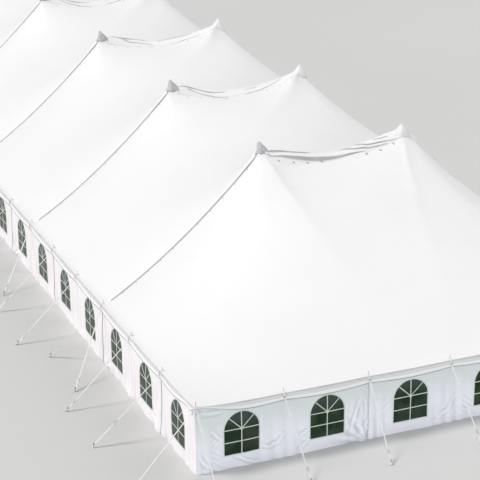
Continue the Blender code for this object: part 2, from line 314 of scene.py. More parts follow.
def clothMaterial(name, look):
    made, tree, shader = newMaterial(name)
    place = objectPlace(tree)
    flat = put(tree, "ShaderNodeUVMap", {"uv_map": "clothMap"}).outputs["UV"]
    broad = cloudsAt(tree, place, look["cloudScale"], 4.0)
    speck = cloudsAt(tree, place, 21.0, 5.0, Roughness=0.65)
    colour = mixColours(tree, mapRange(tree, broad, 0.38, 0.68, 0, 1, True), look["colour"], look["shade"])
    colour = mixColours(tree, mapRange(tree, speck, 0.58, 0.78, 0, look["specks"]), colour, look["dirt"])
    height = put(tree, "ShaderNodeSeparateXYZ", {}, {"Vector": place}).outputs["Z"]
    if look.get("high"):
        # painted shade: the upper part of a wall is painted darker and cooler, for the shade that falls there
        colour = mixColours(tree, mapRange(tree, height, 0.42, 1.0, 0, 1, True), colour, look["high"])
    if look.get("paintedFoldShade"):
        # painted shade in the hollows between folds, darker than their crests
        fold = put(tree, "ShaderNodeAttribute", {"attribute_name": "foldShade"}).outputs["Fac"]
        colour = mixColours(tree, mapRange(tree, fold, 0.05, 1.0, 0, look["paintedFoldShade"]), colour, look["hollow"])
        # painted light on the crests of folds
        colour = mixColours(tree, mapRange(tree, fold, -0.05, -1.0, 0, 0.5), colour, (0.95, 0.955, 0.97))
    if look.get("hemDirt"):
        # stains from rain splash low on the cloth
        rough = doMath(tree, "SUBTRACT", height, doMath(tree, "MULTIPLY", speck, 0.16))
        colour = mixColours(tree, mapRange(tree, rough, 0.07, -0.07, 0, look["hemDirt"], True), colour, look["dirt"])
    across = put(tree, "ShaderNodeSeparateXYZ", {}, {"Vector": flat})
    below = {}
    if look.get("panelWidth"):
        # welds between the widths of cloth
        turns = doMath(tree, "DIVIDE", across.outputs[look["panelAxis"]], look["panelWidth"])
        part = doMath(tree, "FRACT", doMath(tree, "ADD", turns, 100.5))
        near = doMath(tree, "ABSOLUTE", doMath(tree, "SUBTRACT", part, 0.5))
        weld = mapRange(tree, near, 0.012 / look["panelWidth"], 0.009 / look["panelWidth"], 0, 1, True)
        colour = mixColours(tree, doMath(tree, "MULTIPLY", weld, look["weld"]), colour, look["dirt"])
        below = {"Normal": bumpOf(tree, weld, 0.0012, 0.6)}
    warp, weft = (put(tree, "ShaderNodeTexWave", {"bands_direction": axis},
                      {"Vector": flat, "Scale": look["weaveScale"]}).outputs["Fac"] for axis in "XY")
    weave = bumpOf(tree, doMath(tree, "MULTIPLY", warp, weft), 0.0004, look["weaveBump"], **below)
    crease = put(tree, "ShaderNodeTexNoise", {"noise_type": "RIDGED_MULTIFRACTAL"},
                 {"Vector": place, "Scale": look["creaseScale"], "Detail": 3.0, "Distortion": 0.4}).outputs["Fac"]
    setInputs(tree, shader, {
        "Normal": bumpOf(tree, crease, look["creaseDepth"], look["creaseBump"], Normal=weave),
        "Base Color": colour,
        "Roughness": mapRange(tree, broad, 0.3, 0.7, look["rough"] - 0.06, look["rough"] + 0.06),
        "IOR": 1.45,
        "Specular IOR Level": 0.35,
    })
    if look.get("glow"):
        # painted light: the cloth glows a little, standing in for the daylight that comes through it
        setInputs(tree, shader, {"Emission Color": look["glow"], "Emission Strength": 1.0})
    return made


looks = {
    "roofVinyl": {
        "colour": (0.895, 0.888, 0.890), "shade": (0.875, 0.868, 0.872), "dirt": (0.62, 0.60, 0.57), "cloudScale": 0.45,
        "specks": 0.10, "panelWidth": 0.762, "panelAxis": 1, "weld": 0.03, "weaveScale": 130.0, "weaveBump": 0.12,
        "creaseScale": 0.9, "creaseDepth": 0.012, "creaseBump": 0.25, "rough": 0.46,
    },
    # painted shade: the end walls' cloth is painted cooler and bluer, with a bluish painted glow, for the shade they
    # stand in; its hollow colour is the painted shade in folds
    "wallVinyl": {
        "colour": (0.880, 0.886, 0.920), "shade": (0.855, 0.862, 0.905), "dirt": (0.50, 0.47, 0.40), "cloudScale": 1.3,
        "high": (0.705, 0.763, 0.728), "glow": (0.062, 0.074, 0.102), "specks": 0.05, "hemDirt": 0.05, "paintedFoldShade": 0.75,
        "hollow": (0.60, 0.63, 0.66), "weaveScale": 160.0, "weaveBump": 0.15,
        "creaseScale": 2.6, "creaseDepth": 0.012, "creaseBump": 0.45, "rough": 0.50,
    },
    "capVinyl": {
        "colour": (0.60, 0.59, 0.62), "shade": (0.50, 0.49, 0.52), "dirt": (0.30, 0.29, 0.29), "cloudScale": 6.0,
        "specks": 0.35, "weaveScale": 160.0, "weaveBump": 0.25,
        "creaseScale": 11.0, "creaseDepth": 0.004, "creaseBump": 0.4, "rough": 0.6,
    },
    "capWhite": {
        "colour": (0.86, 0.855, 0.87), "shade": (0.78, 0.775, 0.80), "dirt": (0.55, 0.54, 0.52), "cloudScale": 5.0,
        "specks": 0.2, "weaveScale": 160.0, "weaveBump": 0.2,
        "creaseScale": 9.0, "creaseDepth": 0.004, "creaseBump": 0.4, "rough": 0.55,
    },
    "ridgeTapeAndShade": {
        "colour": (0.60, 0.60, 0.61), "shade": (0.50, 0.50, 0.515), "dirt": (0.3, 0.3, 0.3), "cloudScale": 3.0,
        "specks": 0.3, "weaveScale": 220.0, "weaveBump": 0.4,
        "creaseScale": 14.0, "creaseDepth": 0.002, "creaseBump": 0.3, "rough": 0.75,
    },
}
looks["laceTape"] = {
    **looks["ridgeTapeAndShade"], "colour": (0.40, 0.40, 0.41), "shade": (0.31, 0.31, 0.32), "dirt": (0.2, 0.2, 0.2),
    "weaveBump": 0.5,
}
# painted shade: the valance's upper band is painted darker than the roof; painted light: its hem glows a little
looks["valanceVinyl"] = {**looks["roofVinyl"], "colour": (0.82, 0.815, 0.84), "shade": (0.79, 0.785, 0.81)}
looks["hemVinyl"] = {**looks["roofVinyl"], "glow": (0.080, 0.088, 0.100)}
# painted light: the side walls take a copy of the wall cloth painted warmer, with a warmer glow, for the sun on them,
# and without the painted shade at the top
looks["sideVinyl"] = {
    **looks["wallVinyl"], "colour": (0.885, 0.868, 0.880), "shade": (0.865, 0.850, 0.866), "high": None,
    "glow": (0.076, 0.058, 0.064), "hollow": (0.66, 0.65, 0.67),
}


def floorMaterial():
    made, tree, shader = newMaterial("paleFloor")
    amount = mapRange(tree, cloudsAt(tree, objectPlace(tree), 0.08, 4.0), 0.3, 0.7, 0, 1)
    setInputs(tree, shader, {
        "Base Color": mixColours(tree, amount, (0.64, 0.64, 0.635), (0.66, 0.66, 0.655)),
        "Roughness": 0.9,
        "Specular IOR Level": 0.1,
    })
    return made


def addFloor():
    floor = addShape(bpy.ops.mesh.primitive_plane_add, size=1400, location=(0, 0, -0.002))
    floor.name = "floor"
    floor.data.materials.append(floorMaterial())


addCamera()
addLight()
addFloor()
print("camera, light and floor made")

(roofVinyl, wallVinyl, capVinyl, capWhite, ridgeTapeAndShade, laceTape, valanceVinyl, hemVinyl, sideVinyl) = (
    clothMaterial(name, look) for name, look in looks.items())

roofNet = {
    "fine": 0.035,
    "coarse": 0.11,
    "nearPeak": 0.2,
    "growth": 0.22,
    "sweeps": 2600,
    "relax": 1.93,
    "skin": 0.004,
    "endExtra": 0.9,
    "eaveSag": 0.007,
    "eaveLift": 0.012,
    "sagReach": 0.40,
    "cornerLift": 0.050,
    "cornerReach": 0.55,
    "fullerLift": 0.105,
    "gather": 0.007,
    "valance": [(-0.030, 0.0), (-0.010, 0.0005), (0.004, 0.003), (0.012, 0.008), (0.0155, 0.016), (0.0150, 0.026),
                (0.0115, 0.042), (0.0070, 0.058), (0.0045, 0.068), (0.0052, 0.0715), (0.0072, 0.0735),
                (0.0088, 0.082), (0.0120, 0.092), (0.0150, 0.100)],
}
# How the valance hangs, as shares of its drop, and how far down its bands of painted shade and painted light begin.
swag = {
    "length": 1.30,
    "middle": 0.33,
    "gather": 0.82,
    "gatherReach": 0.56,
    "looseAt": 0.15,
    "looseWidth": 0.10,
    "looseEdge": 0.07,
    "looseDrop": 0.85,
    "belly": 0.06,
    "clothFrom": 0.03,
    "hemFrom": 0.056,
}
# Straight pulls in the cloth, from a peak to a pole: the pole's place, how much it lifts and how wide,
# and for some how much wider its left flank is.
endCreases = [
    ((4.572, -13.716), 0.030, 0.30), ((4.572, -12.192), 0.012, 0.25), ((4.572, -10.668), 0.010, 0.22),
    ((3.048, -13.716), 0.010, 0.25), ((1.524, -13.716), 0.008, 0.25),
]
middleCreases = [((4.572, 1.524), 0.012, 0.22), ((4.572, -1.524), 0.012, 0.22)]
# The strongest pulls differ from side to side.
innerEndCrease = {-1: ((0.44, -13.716), 0.150, 0.34, 3.0), 1: ((0.20, -13.716), 0.070, 0.20)}
innerMiddleCreases = {-1: [], 1: [((-0.84, -2.286), 0.210, 0.27, 1.4), ((-0.84, 2.286), 0.035, 0.24)]}


def closeLines(start, end, spots, fine, coarse):
    # lines from start to end, close together near the spots
    lines = [start]
    while lines[-1] < end - fine * 0.5:
        away = min(abs(lines[-1] - spot) for spot in spots)
        lines.append(lines[-1] + min(coarse, fine + max(0.0, away - roofNet["nearPeak"]) * roofNet["growth"]))
    lines = np.array(lines)
    return start + (lines - start) * (end - start) / (lines[-1] - start)


def laceHeight(x):
    out = np.abs(x)
    low = tent["peakX"] - tent["seat"]
    high = tent["peakX"] + tent["seat"]
    foot = tent["halfWidth"] - tent["ledge"]
    rise = np.clip((foot - out) / (foot - high), 0, 1)
    sag = tent["slopeSag"]
    slope = tent["eave"] + (tent["peak"] - tent["eave"]) * ((1 - sag) * rise + sag * rise**2)
    ridge = tent["peak"] - tent["ridgeDip"] * (1 - (out / low) ** 2)
    return np.where(out > high, slope, np.where(out < low, ridge, tent["peak"]))


def stretchNet(xs, ys, laces):
    # balances the pull at each free point of the net, which is stiffer near the peaks
    across, along = np.meshgrid(xs, ys, indexing="ij")
    nearest = np.min([np.abs(along - lace) for lace in laces], axis=0)
    onEave = (np.abs(across) >= tent["halfWidth"] - tent["ledge"] - 1e-6)
    onEave |= np.abs(along) >= tent["halfLength"] - tent["ledge"] - 1e-6
    onSeat = (nearest <= tent["seat"] + 1e-6) & (np.abs(np.abs(across) - tent["peakX"]) <= tent["seat"] + 1e-6)
    onLace = nearest <= 1e-4
    profile = laceHeight(across)
    fall = np.clip(nearest / tent["section"], 0, 1)
    heights = profile * (1 - fall) + (tent["eave"] + 0.75 * (profile - tent["eave"])) * fall
    heights[onLace] = profile[onLace]
    heights[onSeat] = tent["peak"]
    heights[onEave] = tent["eave"]
    held = onEave | onSeat | onLace

    def stiffness(x, y):
        total = 0.0
        for lace in laces:
            for side in (-1, 1):
                reach = np.hypot(x - side * tent["peakX"], y - lace) + tent["pullReach"]
                total = total + reach ** -tent["peakPull"]
        return total

    gapX = np.diff(xs)
    gapY = np.diff(ys)
    spanX = np.concatenate(([gapX[0]], (gapX[:-1] + gapX[1:]) / 2, [gapX[-1]]))
    spanY = np.concatenate(([gapY[0]], (gapY[:-1] + gapY[1:]) / 2, [gapY[-1]]))
    middleX = (xs[:-1] + xs[1:]) / 2
    middleY = (ys[:-1] + ys[1:]) / 2
    pullX = stiffness(middleX[:, None], ys[None, :]) / gapX[:, None] * spanY[None, :]
    pullY = stiffness(xs[:, None], middleY[None, :]) / gapY[None, :] * spanX[:, None]
    left, right = pullX[:-1, 1:-1], pullX[1:, 1:-1]
    down, up = pullY[1:-1, :-1], pullY[1:-1, 1:]
    total = left + right + down + up
    free = ~held[1:-1, 1:-1]
    rows, columns = np.indices(free.shape)
    for sweep in range(roofNet["sweeps"]):
        for colour in (0, 1):
            turn = free & ((rows + columns) % 2 == colour)
            inner = heights[1:-1, 1:-1]
            wanted = (left * heights[:-2, 1:-1] + right * heights[2:, 1:-1]
                      + down * heights[1:-1, :-2] + up * heights[1:-1, 2:]) / total
            inner[turn] += roofNet["relax"] * (wanted - inner)[turn]
    return heights


halfLines = np.concatenate((
    closeLines(0.0, tent["halfWidth"] - tent["ledge"], [tent["peakX"]], roofNet["fine"], roofNet["coarse"]),
    [tent["halfWidth"] - 0.021],
))
roofXs = np.concatenate((-halfLines[::-1], halfLines[1:]))
endYs = np.concatenate((
    [-tent["halfLength"] + 0.021],
    closeLines(-tent["halfLength"] + tent["ledge"], laceLines[0], [laceLines[0]], roofNet["fine"], roofNet["coarse"]),
))
middleYs = closeLines(0.0, tent["section"] / 2, [0.0], roofNet["fine"], roofNet["coarse"])
middleYs = np.concatenate((middleYs, tent["section"] - middleYs[-2::-1]))
endNet = stretchNet(roofXs, endYs, [laceLines[0]])
middleNet = stretchNet(roofXs, middleYs, [0.0, tent["section"]])
print("roof nets stretched", endNet.shape, middleNet.shape)


def readNet(net, ys, x, y):
    i = np.clip(np.searchsorted(roofXs, x) - 1, 0, len(roofXs) - 2)
    j = np.clip(np.searchsorted(ys, y) - 1, 0, len(ys) - 2)
    s = np.clip((x - roofXs[i]) / (roofXs[i + 1] - roofXs[i]), 0, 1)
    t = np.clip((y - ys[j]) / (ys[j + 1] - ys[j]), 0, 1)
    low = net[i, j] * (1 - s) + net[i + 1, j] * s
    high = net[i, j + 1] * (1 - s) + net[i + 1, j + 1] * s
    return low * (1 - t) + high * t


def creaseLift(x, y, start, foot, lift, width, spread=1.0):
    along = np.array(foot) - np.array(start)
    length = np.hypot(*along)
    along = along / length
    s = ((x - start[0]) * along[0] + (y - start[1]) * along[1]) / length
    d = ((x - start[0]) * along[1] - (y - start[1]) * along[0]) * np.sign(along[1])
    strength = np.clip(s / 0.08, 0, 1) * np.clip(1 - s, 0, 1) ** 1.3
    return lift * strength * np.exp(-np.abs(d) / (width * np.where(d < 0, spread, 1.0) * (0.35 + s.clip(0, 1))))


def roofHeight(x, y):
    x = np.asarray(x, dtype=float)
    y = np.asarray(y, dtype=float)
    shape = np.broadcast(x, y).shape
    x = np.broadcast_to(x, shape)
    y = np.broadcast_to(y, shape)
    endY = -np.abs(y)
    isEnd = endY < laceLines[0]
    local = np.mod(y, tent["section"])
    base = np.where(isEnd, readNet(endNet, endYs, x, endY), readNet(middleNet, middleYs, x, local))
    lift = np.zeros(shape)
    for side in (-1, 1):
        peak = (side * tent["peakX"], laceLines[0])
        for foot, amount, *widths in endCreases + [innerEndCrease[side]]:
            end = creaseLift(x, endY, peak, (side * foot[0], foot[1]), amount, *widths)
            lift += np.where(isEnd, end, 0)
        for shift in (0.0, tent["section"]):
            atEnd = np.abs(y - local + shift) > laceLines[-1] - 0.01
            for foot, amount, *widths in middleCreases + innerMiddleCreases[side]:
                start = (side * tent["peakX"], shift)
                middle = creaseLift(x, local, start, (side * foot[0], shift + foot[1]), amount, *widths)
                # a pull of the end sections' neighbours doesn't reach over their lace line
                away = (foot[1] < 0) == (shift == 0)
                lift += np.where(isEnd | (atEnd & away), 0, middle)
    # the edge hangs a little between the side poles
    fromSide = np.clip(tent["halfWidth"] - np.abs(x), 0, None)
    fromEnd = np.clip(tent["halfLength"] - np.abs(y), 0, None)
    sideWave = np.abs(np.sin(np.pi * y / tent["bay"])) ** 0.8
    endWave = np.abs(np.sin(np.pi * x / tent["bay"])) ** 0.8
    lift -= roofNet["eaveSag"] * sideWave * np.exp(-fromSide / roofNet["sagReach"])
    lift -= roofNet["eaveSag"] * endWave * np.exp(-fromEnd / roofNet["sagReach"])
    lift += roofNet["eaveLift"] * np.exp(-np.minimum(fromSide, fromEnd) / 0.3)
    lift += roofNet["cornerLift"] * np.exp(-np.hypot(fromSide, fromEnd) / roofNet["cornerReach"])
    # gathers round the peaks
    nearLace = np.clip(np.rint(y / tent["section"]), -2, 2) * tent["section"]
    offX = np.abs(x) - tent["peakX"]
    offY = y - nearLace
    reach = np.hypot(offX, offY)
    angle = np.arctan2(offY, offX)
    # the first lace line runs down fuller from its right-hand peak
    past = x - tent["peakX"]
    fuller = smoothStep(past, 0.08, 0.30) * np.exp(-past.clip(0) / 0.75) * np.exp(-np.abs(offY) / 0.25)
    lift += np.where(nearLace == laceLines[0], roofNet["fullerLift"] * fuller, 0)
    ring = np.exp(-np.clip(reach - 0.12, 0, None) / 0.16) * (reach > 0.09)
    lift += roofNet["gather"] * np.cos(11 * angle + 0.6) * ring
    return base + lift


def gridSheet(columns, rows):
    # a grid of points, with the column and row of each
    bpy.ops.object.select_all(action="DESELECT")
    bpy.ops.mesh.primitive_grid_add(x_subdivisions=columns - 1, y_subdivisions=rows - 1, size=2)
    sheet = bpy.context.object
    points = readPoints(sheet)
    i = np.rint((points[:, 0] + 1) / 2 * (columns - 1)).astype(int)
    j = np.rint((points[:, 1] + 1) / 2 * (rows - 1)).astype(int)
    return sheet, i, j


def withTails(places, edge, before, after):
    # place and drop of the roof's own lines, with a valance's lines before and after them
    tail = [(edge + out, drop) for out, drop in roofNet["valance"]]
    head = [(-place, drop) for place, drop in reversed(tail)]
    return np.array(head * before + [(place, 0.0) for place in places] + tail * after)


def addRoofSection(node, start):
    valance = roofNet["valance"]
    count = len(valance)
    edgeX = tent["halfWidth"] + tent["edge"]
    edgeY = tent["halfLength"] + tent["edge"]
    hasFront = start < -tent["halfLength"] + 0.1
    hasBack = start + tent["section"] > tent["halfLength"] - 0.1
    ys = endYs[1:] if hasFront else -endYs[:0:-1] if hasBack else middleYs + start
    lineX = withTails(roofXs[1:-1], edgeX, True, True)
    lineY = withTails(ys, edgeY, hasFront, hasBack)
    sheet, i, j = gridSheet(len(lineX), len(lineY))
    x, dropX = lineX[i].T
    y, dropY = lineY[j].T
    # how far along the valance's profile each line is, 0 on the roof itself
    stepX = np.clip(np.maximum(count - i, i - (len(lineX) - count - 1)), 0, count)
    stepY = np.clip(np.maximum((count - j) * hasFront, (j - (len(lineY) - count - 1)) * hasBack), 0, count)
    outs = np.array([0.0] + [out for out, drop in valance])
    cornerX = (stepX > 1) & (stepY == 1)
    cornerY = (stepY > 1) & (stepX == 1)
    x = np.where(cornerY, np.sign(x) * (edgeX + outs[stepY]), x)
    y = np.where(cornerX, np.sign(y) * (edgeY + outs[stepX]), y)
    drop = np.maximum(dropX, dropY)
    heights = roofHeight(np.clip(x, -tent["halfWidth"], tent["halfWidth"]),
                         np.clip(y, -tent["halfLength"], tent["halfLength"])) - drop
    # the valance hangs lowest half-way between poles and is drawn up at the tent's corners
    offCorner = np.hypot(tent["halfWidth"] - np.abs(x), tent["halfLength"] - np.abs(y))
    middle = np.abs(np.sin(np.pi * np.where(stepX > 0, y, x) / tent["bay"]))
    gather = 1 - swag["gather"] * np.exp(-((offCorner / swag["gatherReach"]) ** 2))
    heights += drop * (1 - (swag["length"] + swag["middle"] * middle) * gather)
    # beside each corner the end of the side's valance hangs loose
    beside = tent["halfLength"] - np.abs(y)
    loose = np.exp(-(((beside - swag["looseAt"]) / swag["looseWidth"]) ** 2))
    heights -= drop * (stepX > 0) * (loose * smoothStep(beside, 0.0, swag["looseEdge"])) * swag["looseDrop"]
    # the valance bellies out a little between poles
    bellyX = (stepX > 3) * np.abs(np.sin(np.pi * y / tent["bay"])) * dropX * swag["belly"]
    bellyY = (stepY > 3) * np.abs(np.sin(np.pi * x / tent["bay"])) * dropY * swag["belly"]
    writePoints(sheet, np.column_stack((x + np.sign(x) * bellyX, y + np.sign(y) * bellyY, heights)))
    writeMap(sheet, np.column_stack([line[:, 0] + np.sign(line[:, 0]) * line[:, 1] for line in (lineX[i], lineY[j])]))
    if hasFront or hasBack:
        # the corner's double quads go, and the two valances are joined along the corner
        both, either = np.minimum(stepX, stepY), np.maximum(stepX, stepY)
        bpy.ops.object.mode_set(mode="EDIT")
        bpy.ops.mesh.select_all(action="DESELECT")
        bpy.ops.object.mode_set(mode="OBJECT")
        for face in sheet.data.polygons:
            corners = list(face.vertices)
            face.select = bool(both[corners].min() > 0 and either[corners].max() > 1)
        bpy.ops.object.mode_set(mode="EDIT")
        bpy.ops.mesh.delete(type="FACE")
        bpy.ops.mesh.select_all(action="SELECT")
        bpy.ops.mesh.remove_doubles(threshold=0.0001)
        bpy.ops.object.mode_set(mode="OBJECT")
    for look in (roofVinyl, laceTape, ridgeTapeAndShade, valanceVinyl, hemVinyl):
        sheet.data.materials.append(look)
    flat = np.array([corner.uv[:] for corner in sheet.data.uv_layers["clothMap"].data])
    for face in sheet.data.polygons:
        spots = flat[list(face.loop_indices)]
        past = max(np.abs(spots[:, 0]).min() - edgeX, np.abs(spots[:, 1]).min() - edgeY)
        # grey tape along the fold at the eave, painted for the shade there, then the valance painted darker for its
        # shade, its hem painted lighter with a glow, and a dark tape at the hem's foot painted for the shadow under it
        bands = (0, swag["clothFrom"], swag["hemFrom"], valance[-2][1])
        face.material_index = (0, 2, 3, 4, 1)[sum(past > band for band in bands)]
    thicken(sheet, roofNet["skin"], -1)
    finishPiece(sheet, None, 38, node=node)


roofNodes = ["roof_front_end", "roof_middle_1", "roof_middle_2", "roof_middle_3", "roof_middle_4", "roof_back_end"]
for index, node in enumerate(roofNodes):
    rows = [row for row in (index, index + 1) if 0 < row < len(roofNodes)]
    holders = ["centre_pole_%d_%s" % (row, side) for row in rows for side in ("left", "right")]
    holders += ["side_poles_left", "side_poles_right"]
    if len(rows) == 1:
        holders.append("side_poles_front" if index == 0 else "side_poles_back")
    addRoofSection(node, -tent["halfLength"] + tent["section"] * index)
print("roof sections made")

# Profiles across a lace line, from front to back: distance, rise over the roof and material.
lacing = {
    "slope": [(-0.064, 0.001), (-0.060, 0.007), (-0.052, 0.012), (-0.044, 0.012), (-0.036, 0.0085), (-0.030, 0.010),
              (0.000, 0.015), (0.014, 0.0155), (0.018, 0.020), (0.022, 0.0205), (0.026, 0.016), (0.040, 0.010),
              (0.048, 0.009), (0.052, 0.012), (0.057, 0.0115), (0.062, 0.001)],
    # on the ridge only the distances are fixed, and the first of them follows the band's foot
    "ridgeSteps": [-0.106, -0.104, -0.1035, -0.103, -0.097, -0.085, -0.055, -0.020, 0.020, 0.055, 0.080, 0.094, 0.103,
                   0.108, 0.111, 0.113],
    "ridgeBack": [1.03, 0.93, 0.62, 0.30, 0.01],
    # rows of the slopes' profile painted as grey tape, partly a grey hem and partly painted shade beside it
    "slopeTapeAndShade": {-1: (0, 1, 2, 3), 1: (12, 13, 14)},
    "thickness": 0.0025,
    "tabGap": 0.245,
    "tab": (0.062, 0.026, 0.006),
    "ridgeTabs": [(-1.161, 0.166, -42), (-0.869, 0.172, -42), (-0.579, 0.150, -42), (-0.271, 0.128, -42),
                  (0.632, 0.150, -42), (0.925, 0.163, -46), (1.211, 0.133, -80)],
}
# The band along the front of the ridge's flap, painted dark for the shade on its front face: place across, low edge and
# high edge over the roof.
ridgeBand = {
    "x": [-1.45, -1.31, -1.09, -0.86, -0.51, -0.28, 0.04, 0.31, 0.60, 0.72, 1.45],
    "low": [0.003, 0.010, 0.050, 0.040, 0.020, 0.004, 0.012, 0.035, 0.034, 0.004, 0.003],
    "high": [0.012, 0.032, 0.082, 0.098, 0.095, 0.080, 0.068, 0.075, 0.046, 0.010, 0.008],
}
# How high the flap's back stands at each lace line, from left to right.
ridgeCrest = [
    ([-1.45, -1.10, -0.76, -0.40, -0.20, 0.10, 0.80, 1.10, 1.40],
     [0.074, 0.066, 0.084, 0.086, 0.078, 0.076, 0.112, 0.112, 0.085]),
    ([-1.45, -1.27, -1.08, -0.87, -0.50, 1.45], [0.085, 0.110, 0.128, 0.090, 0.080, 0.080]),
    ([-1.45, -1.20, -0.90, -0.52, -0.30, 1.45], [0.090, 0.130, 0.130, 0.114, 0.085, 0.080]),
]
# Edges of cloth that stand up on the flap: place across, distance from the lace line and height.
ridgeEdges = [
    [
        [(-1.329, -0.042, 0.030), (-1.234, -0.030, 0.034), (-1.104, -0.015, 0.034), (-0.762, 0.088, 0.026),
         (-0.516, 0.090, 0.014), (-0.371, 0.090, 0.006)],
        [(0.150, 0.050, 0.006), (0.219, 0.034, 0.016), (0.408, -0.040, 0.024), (0.596, -0.052, 0.026),
         (0.881, -0.078, 0.022), (1.110, -0.098, 0.014)],
        [(0.420, 0.080, 0.006), (0.513, 0.070, 0.018), (0.712, -0.010, 0.022), (0.962, -0.038, 0.022),
         (1.183, -0.076, 0.018), (1.350, -0.098, 0.010)],
        [(0.858, 0.064, 0.010), (0.991, 0.020, 0.014), (1.161, 0.002, 0.010)],
        [(0.296, 0.088, 0.006), (0.491, 0.076, 0.009)],
    ],
    [
        [(-1.273, 0.088, 0.020), (-1.083, 0.088, 0.024), (-0.871, 0.088, 0.024), (-0.699, 0.010, 0.024),
         (-0.455, 0.008, 0.014), (-0.203, 0.046, 0.006)],
        [(-1.111, 0.020, 0.012), (-0.921, -0.036, 0.016), (-0.727, -0.078, 0.016), (-0.523, -0.110, 0.014),
         (-0.317, -0.174, 0.012), (-0.240, -0.185, 0.008)],
        [(0.162, -0.098, 0.012), (0.577, -0.070, 0.014), (1.026, 0.000, 0.010)],
        [(0.158, 0.024, 0.006), (0.490, 0.034, 0.010)],
    ],
    [
        [(-1.215, 0.088, 0.018), (-0.913, 0.088, 0.020), (-0.521, 0.088, 0.018), (-0.304, 0.088, 0.010)],
        [(-1.000, 0.080, 0.010), (-0.758, -0.020, 0.016), (-0.561, -0.016, 0.014), (-0.346, -0.024, 0.010),
         (-0.177, -0.098, 0.008)],
        [(-0.092, 0.060, 0.006), (0.113, 0.076, 0.014), (0.500, 0.088, 0.014), (0.854, 0.074, 0.008)],
        [(0.202, -0.098, 0.006), (0.582, -0.064, 0.008), (0.975, -0.074, 0.006)],
    ],
]


def flapShare(x):
    # 1 on the ridge between the peaks, 0 on the slopes
    return np.clip((tent["peakX"] + 0.01 - np.abs(x)) / 0.06, 0, 1)


def flapSize(x):
    # the flap is drawn in under the caps and runs out at the eave
    nearPeak = np.clip((np.abs(np.abs(x) - tent["peakX"]) - 0.03) / 0.06, 0, 1)
    nearEave = np.clip((tent["halfWidth"] - np.abs(x)) / 0.25, 0, 1)
    return (0.25 + 0.75 * nearPeak) * (0.35 + 0.65 * nearEave)


def ridgeRise(number, x, row):
    # distance from the lace line and rise over the roof at a row of the flap's profile
    steps = np.array(lacing["ridgeSteps"])
    if number == 0:
        low = np.interp(x, ridgeBand["x"], ridgeBand["low"])
        high = np.interp(x, ridgeBand["x"], ridgeBand["high"])
    else:
        low, high = 0.002, 0.008
    crest = np.interp(x, *ridgeCrest[number if number < 3 else number - 2])
    off = np.where(row == 0, steps[0] - 3.0 * low, steps[row])
    share = np.clip((off + 0.085) / 0.165, 0, 1)
    back = np.array([1.0] * 11 + lacing["ridgeBack"])[row]
    rise = np.where(row > 4, ((high + 0.006) * (1 - share) + crest * share) * back, high + 0.005)
    for front, height in ((0, -0.004), (1, low), (2, (low + high) / 2), (3, high)):
        rise = np.where(row == front, height, rise)
    return off, rise


def flapTop(number, x, off):
    rows = np.arange(len(lacing["ridgeSteps"]))
    return np.array([np.interp(there, *ridgeRise(number, across, rows)) for across, there in zip(x, off)])


def addFlap(number, laceY):
    peakX = tent["peakX"]
    # lines stand closer together by the peak
    spans = [(-tent["halfWidth"] + 0.006, -peakX - 0.13, 62), (-peakX - 0.13, -peakX + 0.16, 18),
             (-peakX + 0.16, 0, 30)]
    xs = np.concatenate([np.linspace(*span, endpoint=False) for span in spans])
    xs = np.concatenate((xs, [0.0], -xs[::-1]))
    slope = np.array(lacing["slope"])
    sheet, i, j = gridSheet(len(xs), len(slope))
    x = xs[i]
    share = flapShare(x)
    size = flapSize(x)
    off, rise = ridgeRise(number, x, j)
    rise = rise * (1 + 0.03 * np.sin(x * 9.1 + laceY) + 0.02 * np.sin(x * 17.3 + 2 * laceY))
    dy = slope[j, 0] * (1 - share) + off * share
    dz = slope[j, 1] * (1 - share) + rise * share
    y = laceY + dy * (0.75 + 0.25 * size)
    writePoints(sheet, np.column_stack((x, y, roofHeight(x, y) + dz * size + 0.0005)))
    middle = ridgeRise(number, np.zeros(len(slope)), np.arange(len(slope)))
    steps = np.concatenate(([0], np.cumsum(np.hypot(*np.diff(middle, axis=1)))))
    run = np.concatenate(([0], np.cumsum(np.hypot(np.diff(xs), np.diff(laceHeight(xs))))))
    writeMap(sheet, np.column_stack((run[i], steps[j])))
    for look in (roofVinyl, laceTape, ridgeTapeAndShade):
        sheet.data.materials.append(look)
    for face in sheet.data.polygons:
        corners = list(face.vertices)
        row = j[corners].min()
        away = np.abs(x[corners]).max()
        middle = x[corners].sum() / len(corners)
        onRidge = away < peakX
        # painted shade: grey tape faces along the slopes' lace lines, partly a grey hem and partly the shade beside it
        if row in lacing["slopeTapeAndShade"][1 if middle > 0 else -1] and not onRidge and away < tent["halfWidth"] - 0.12:
            face.material_index = 1
        # painted shade: on the first ridge the flap's front face is painted dark for its shade
        elif onRidge and row in (1, 2) and number == 0 and middle < 0.64:
            face.material_index = 2
    thicken(sheet, lacing["thickness"], 1)
    finishPiece(sheet, None, 40, name="laceFlap%d" % (number + 1))


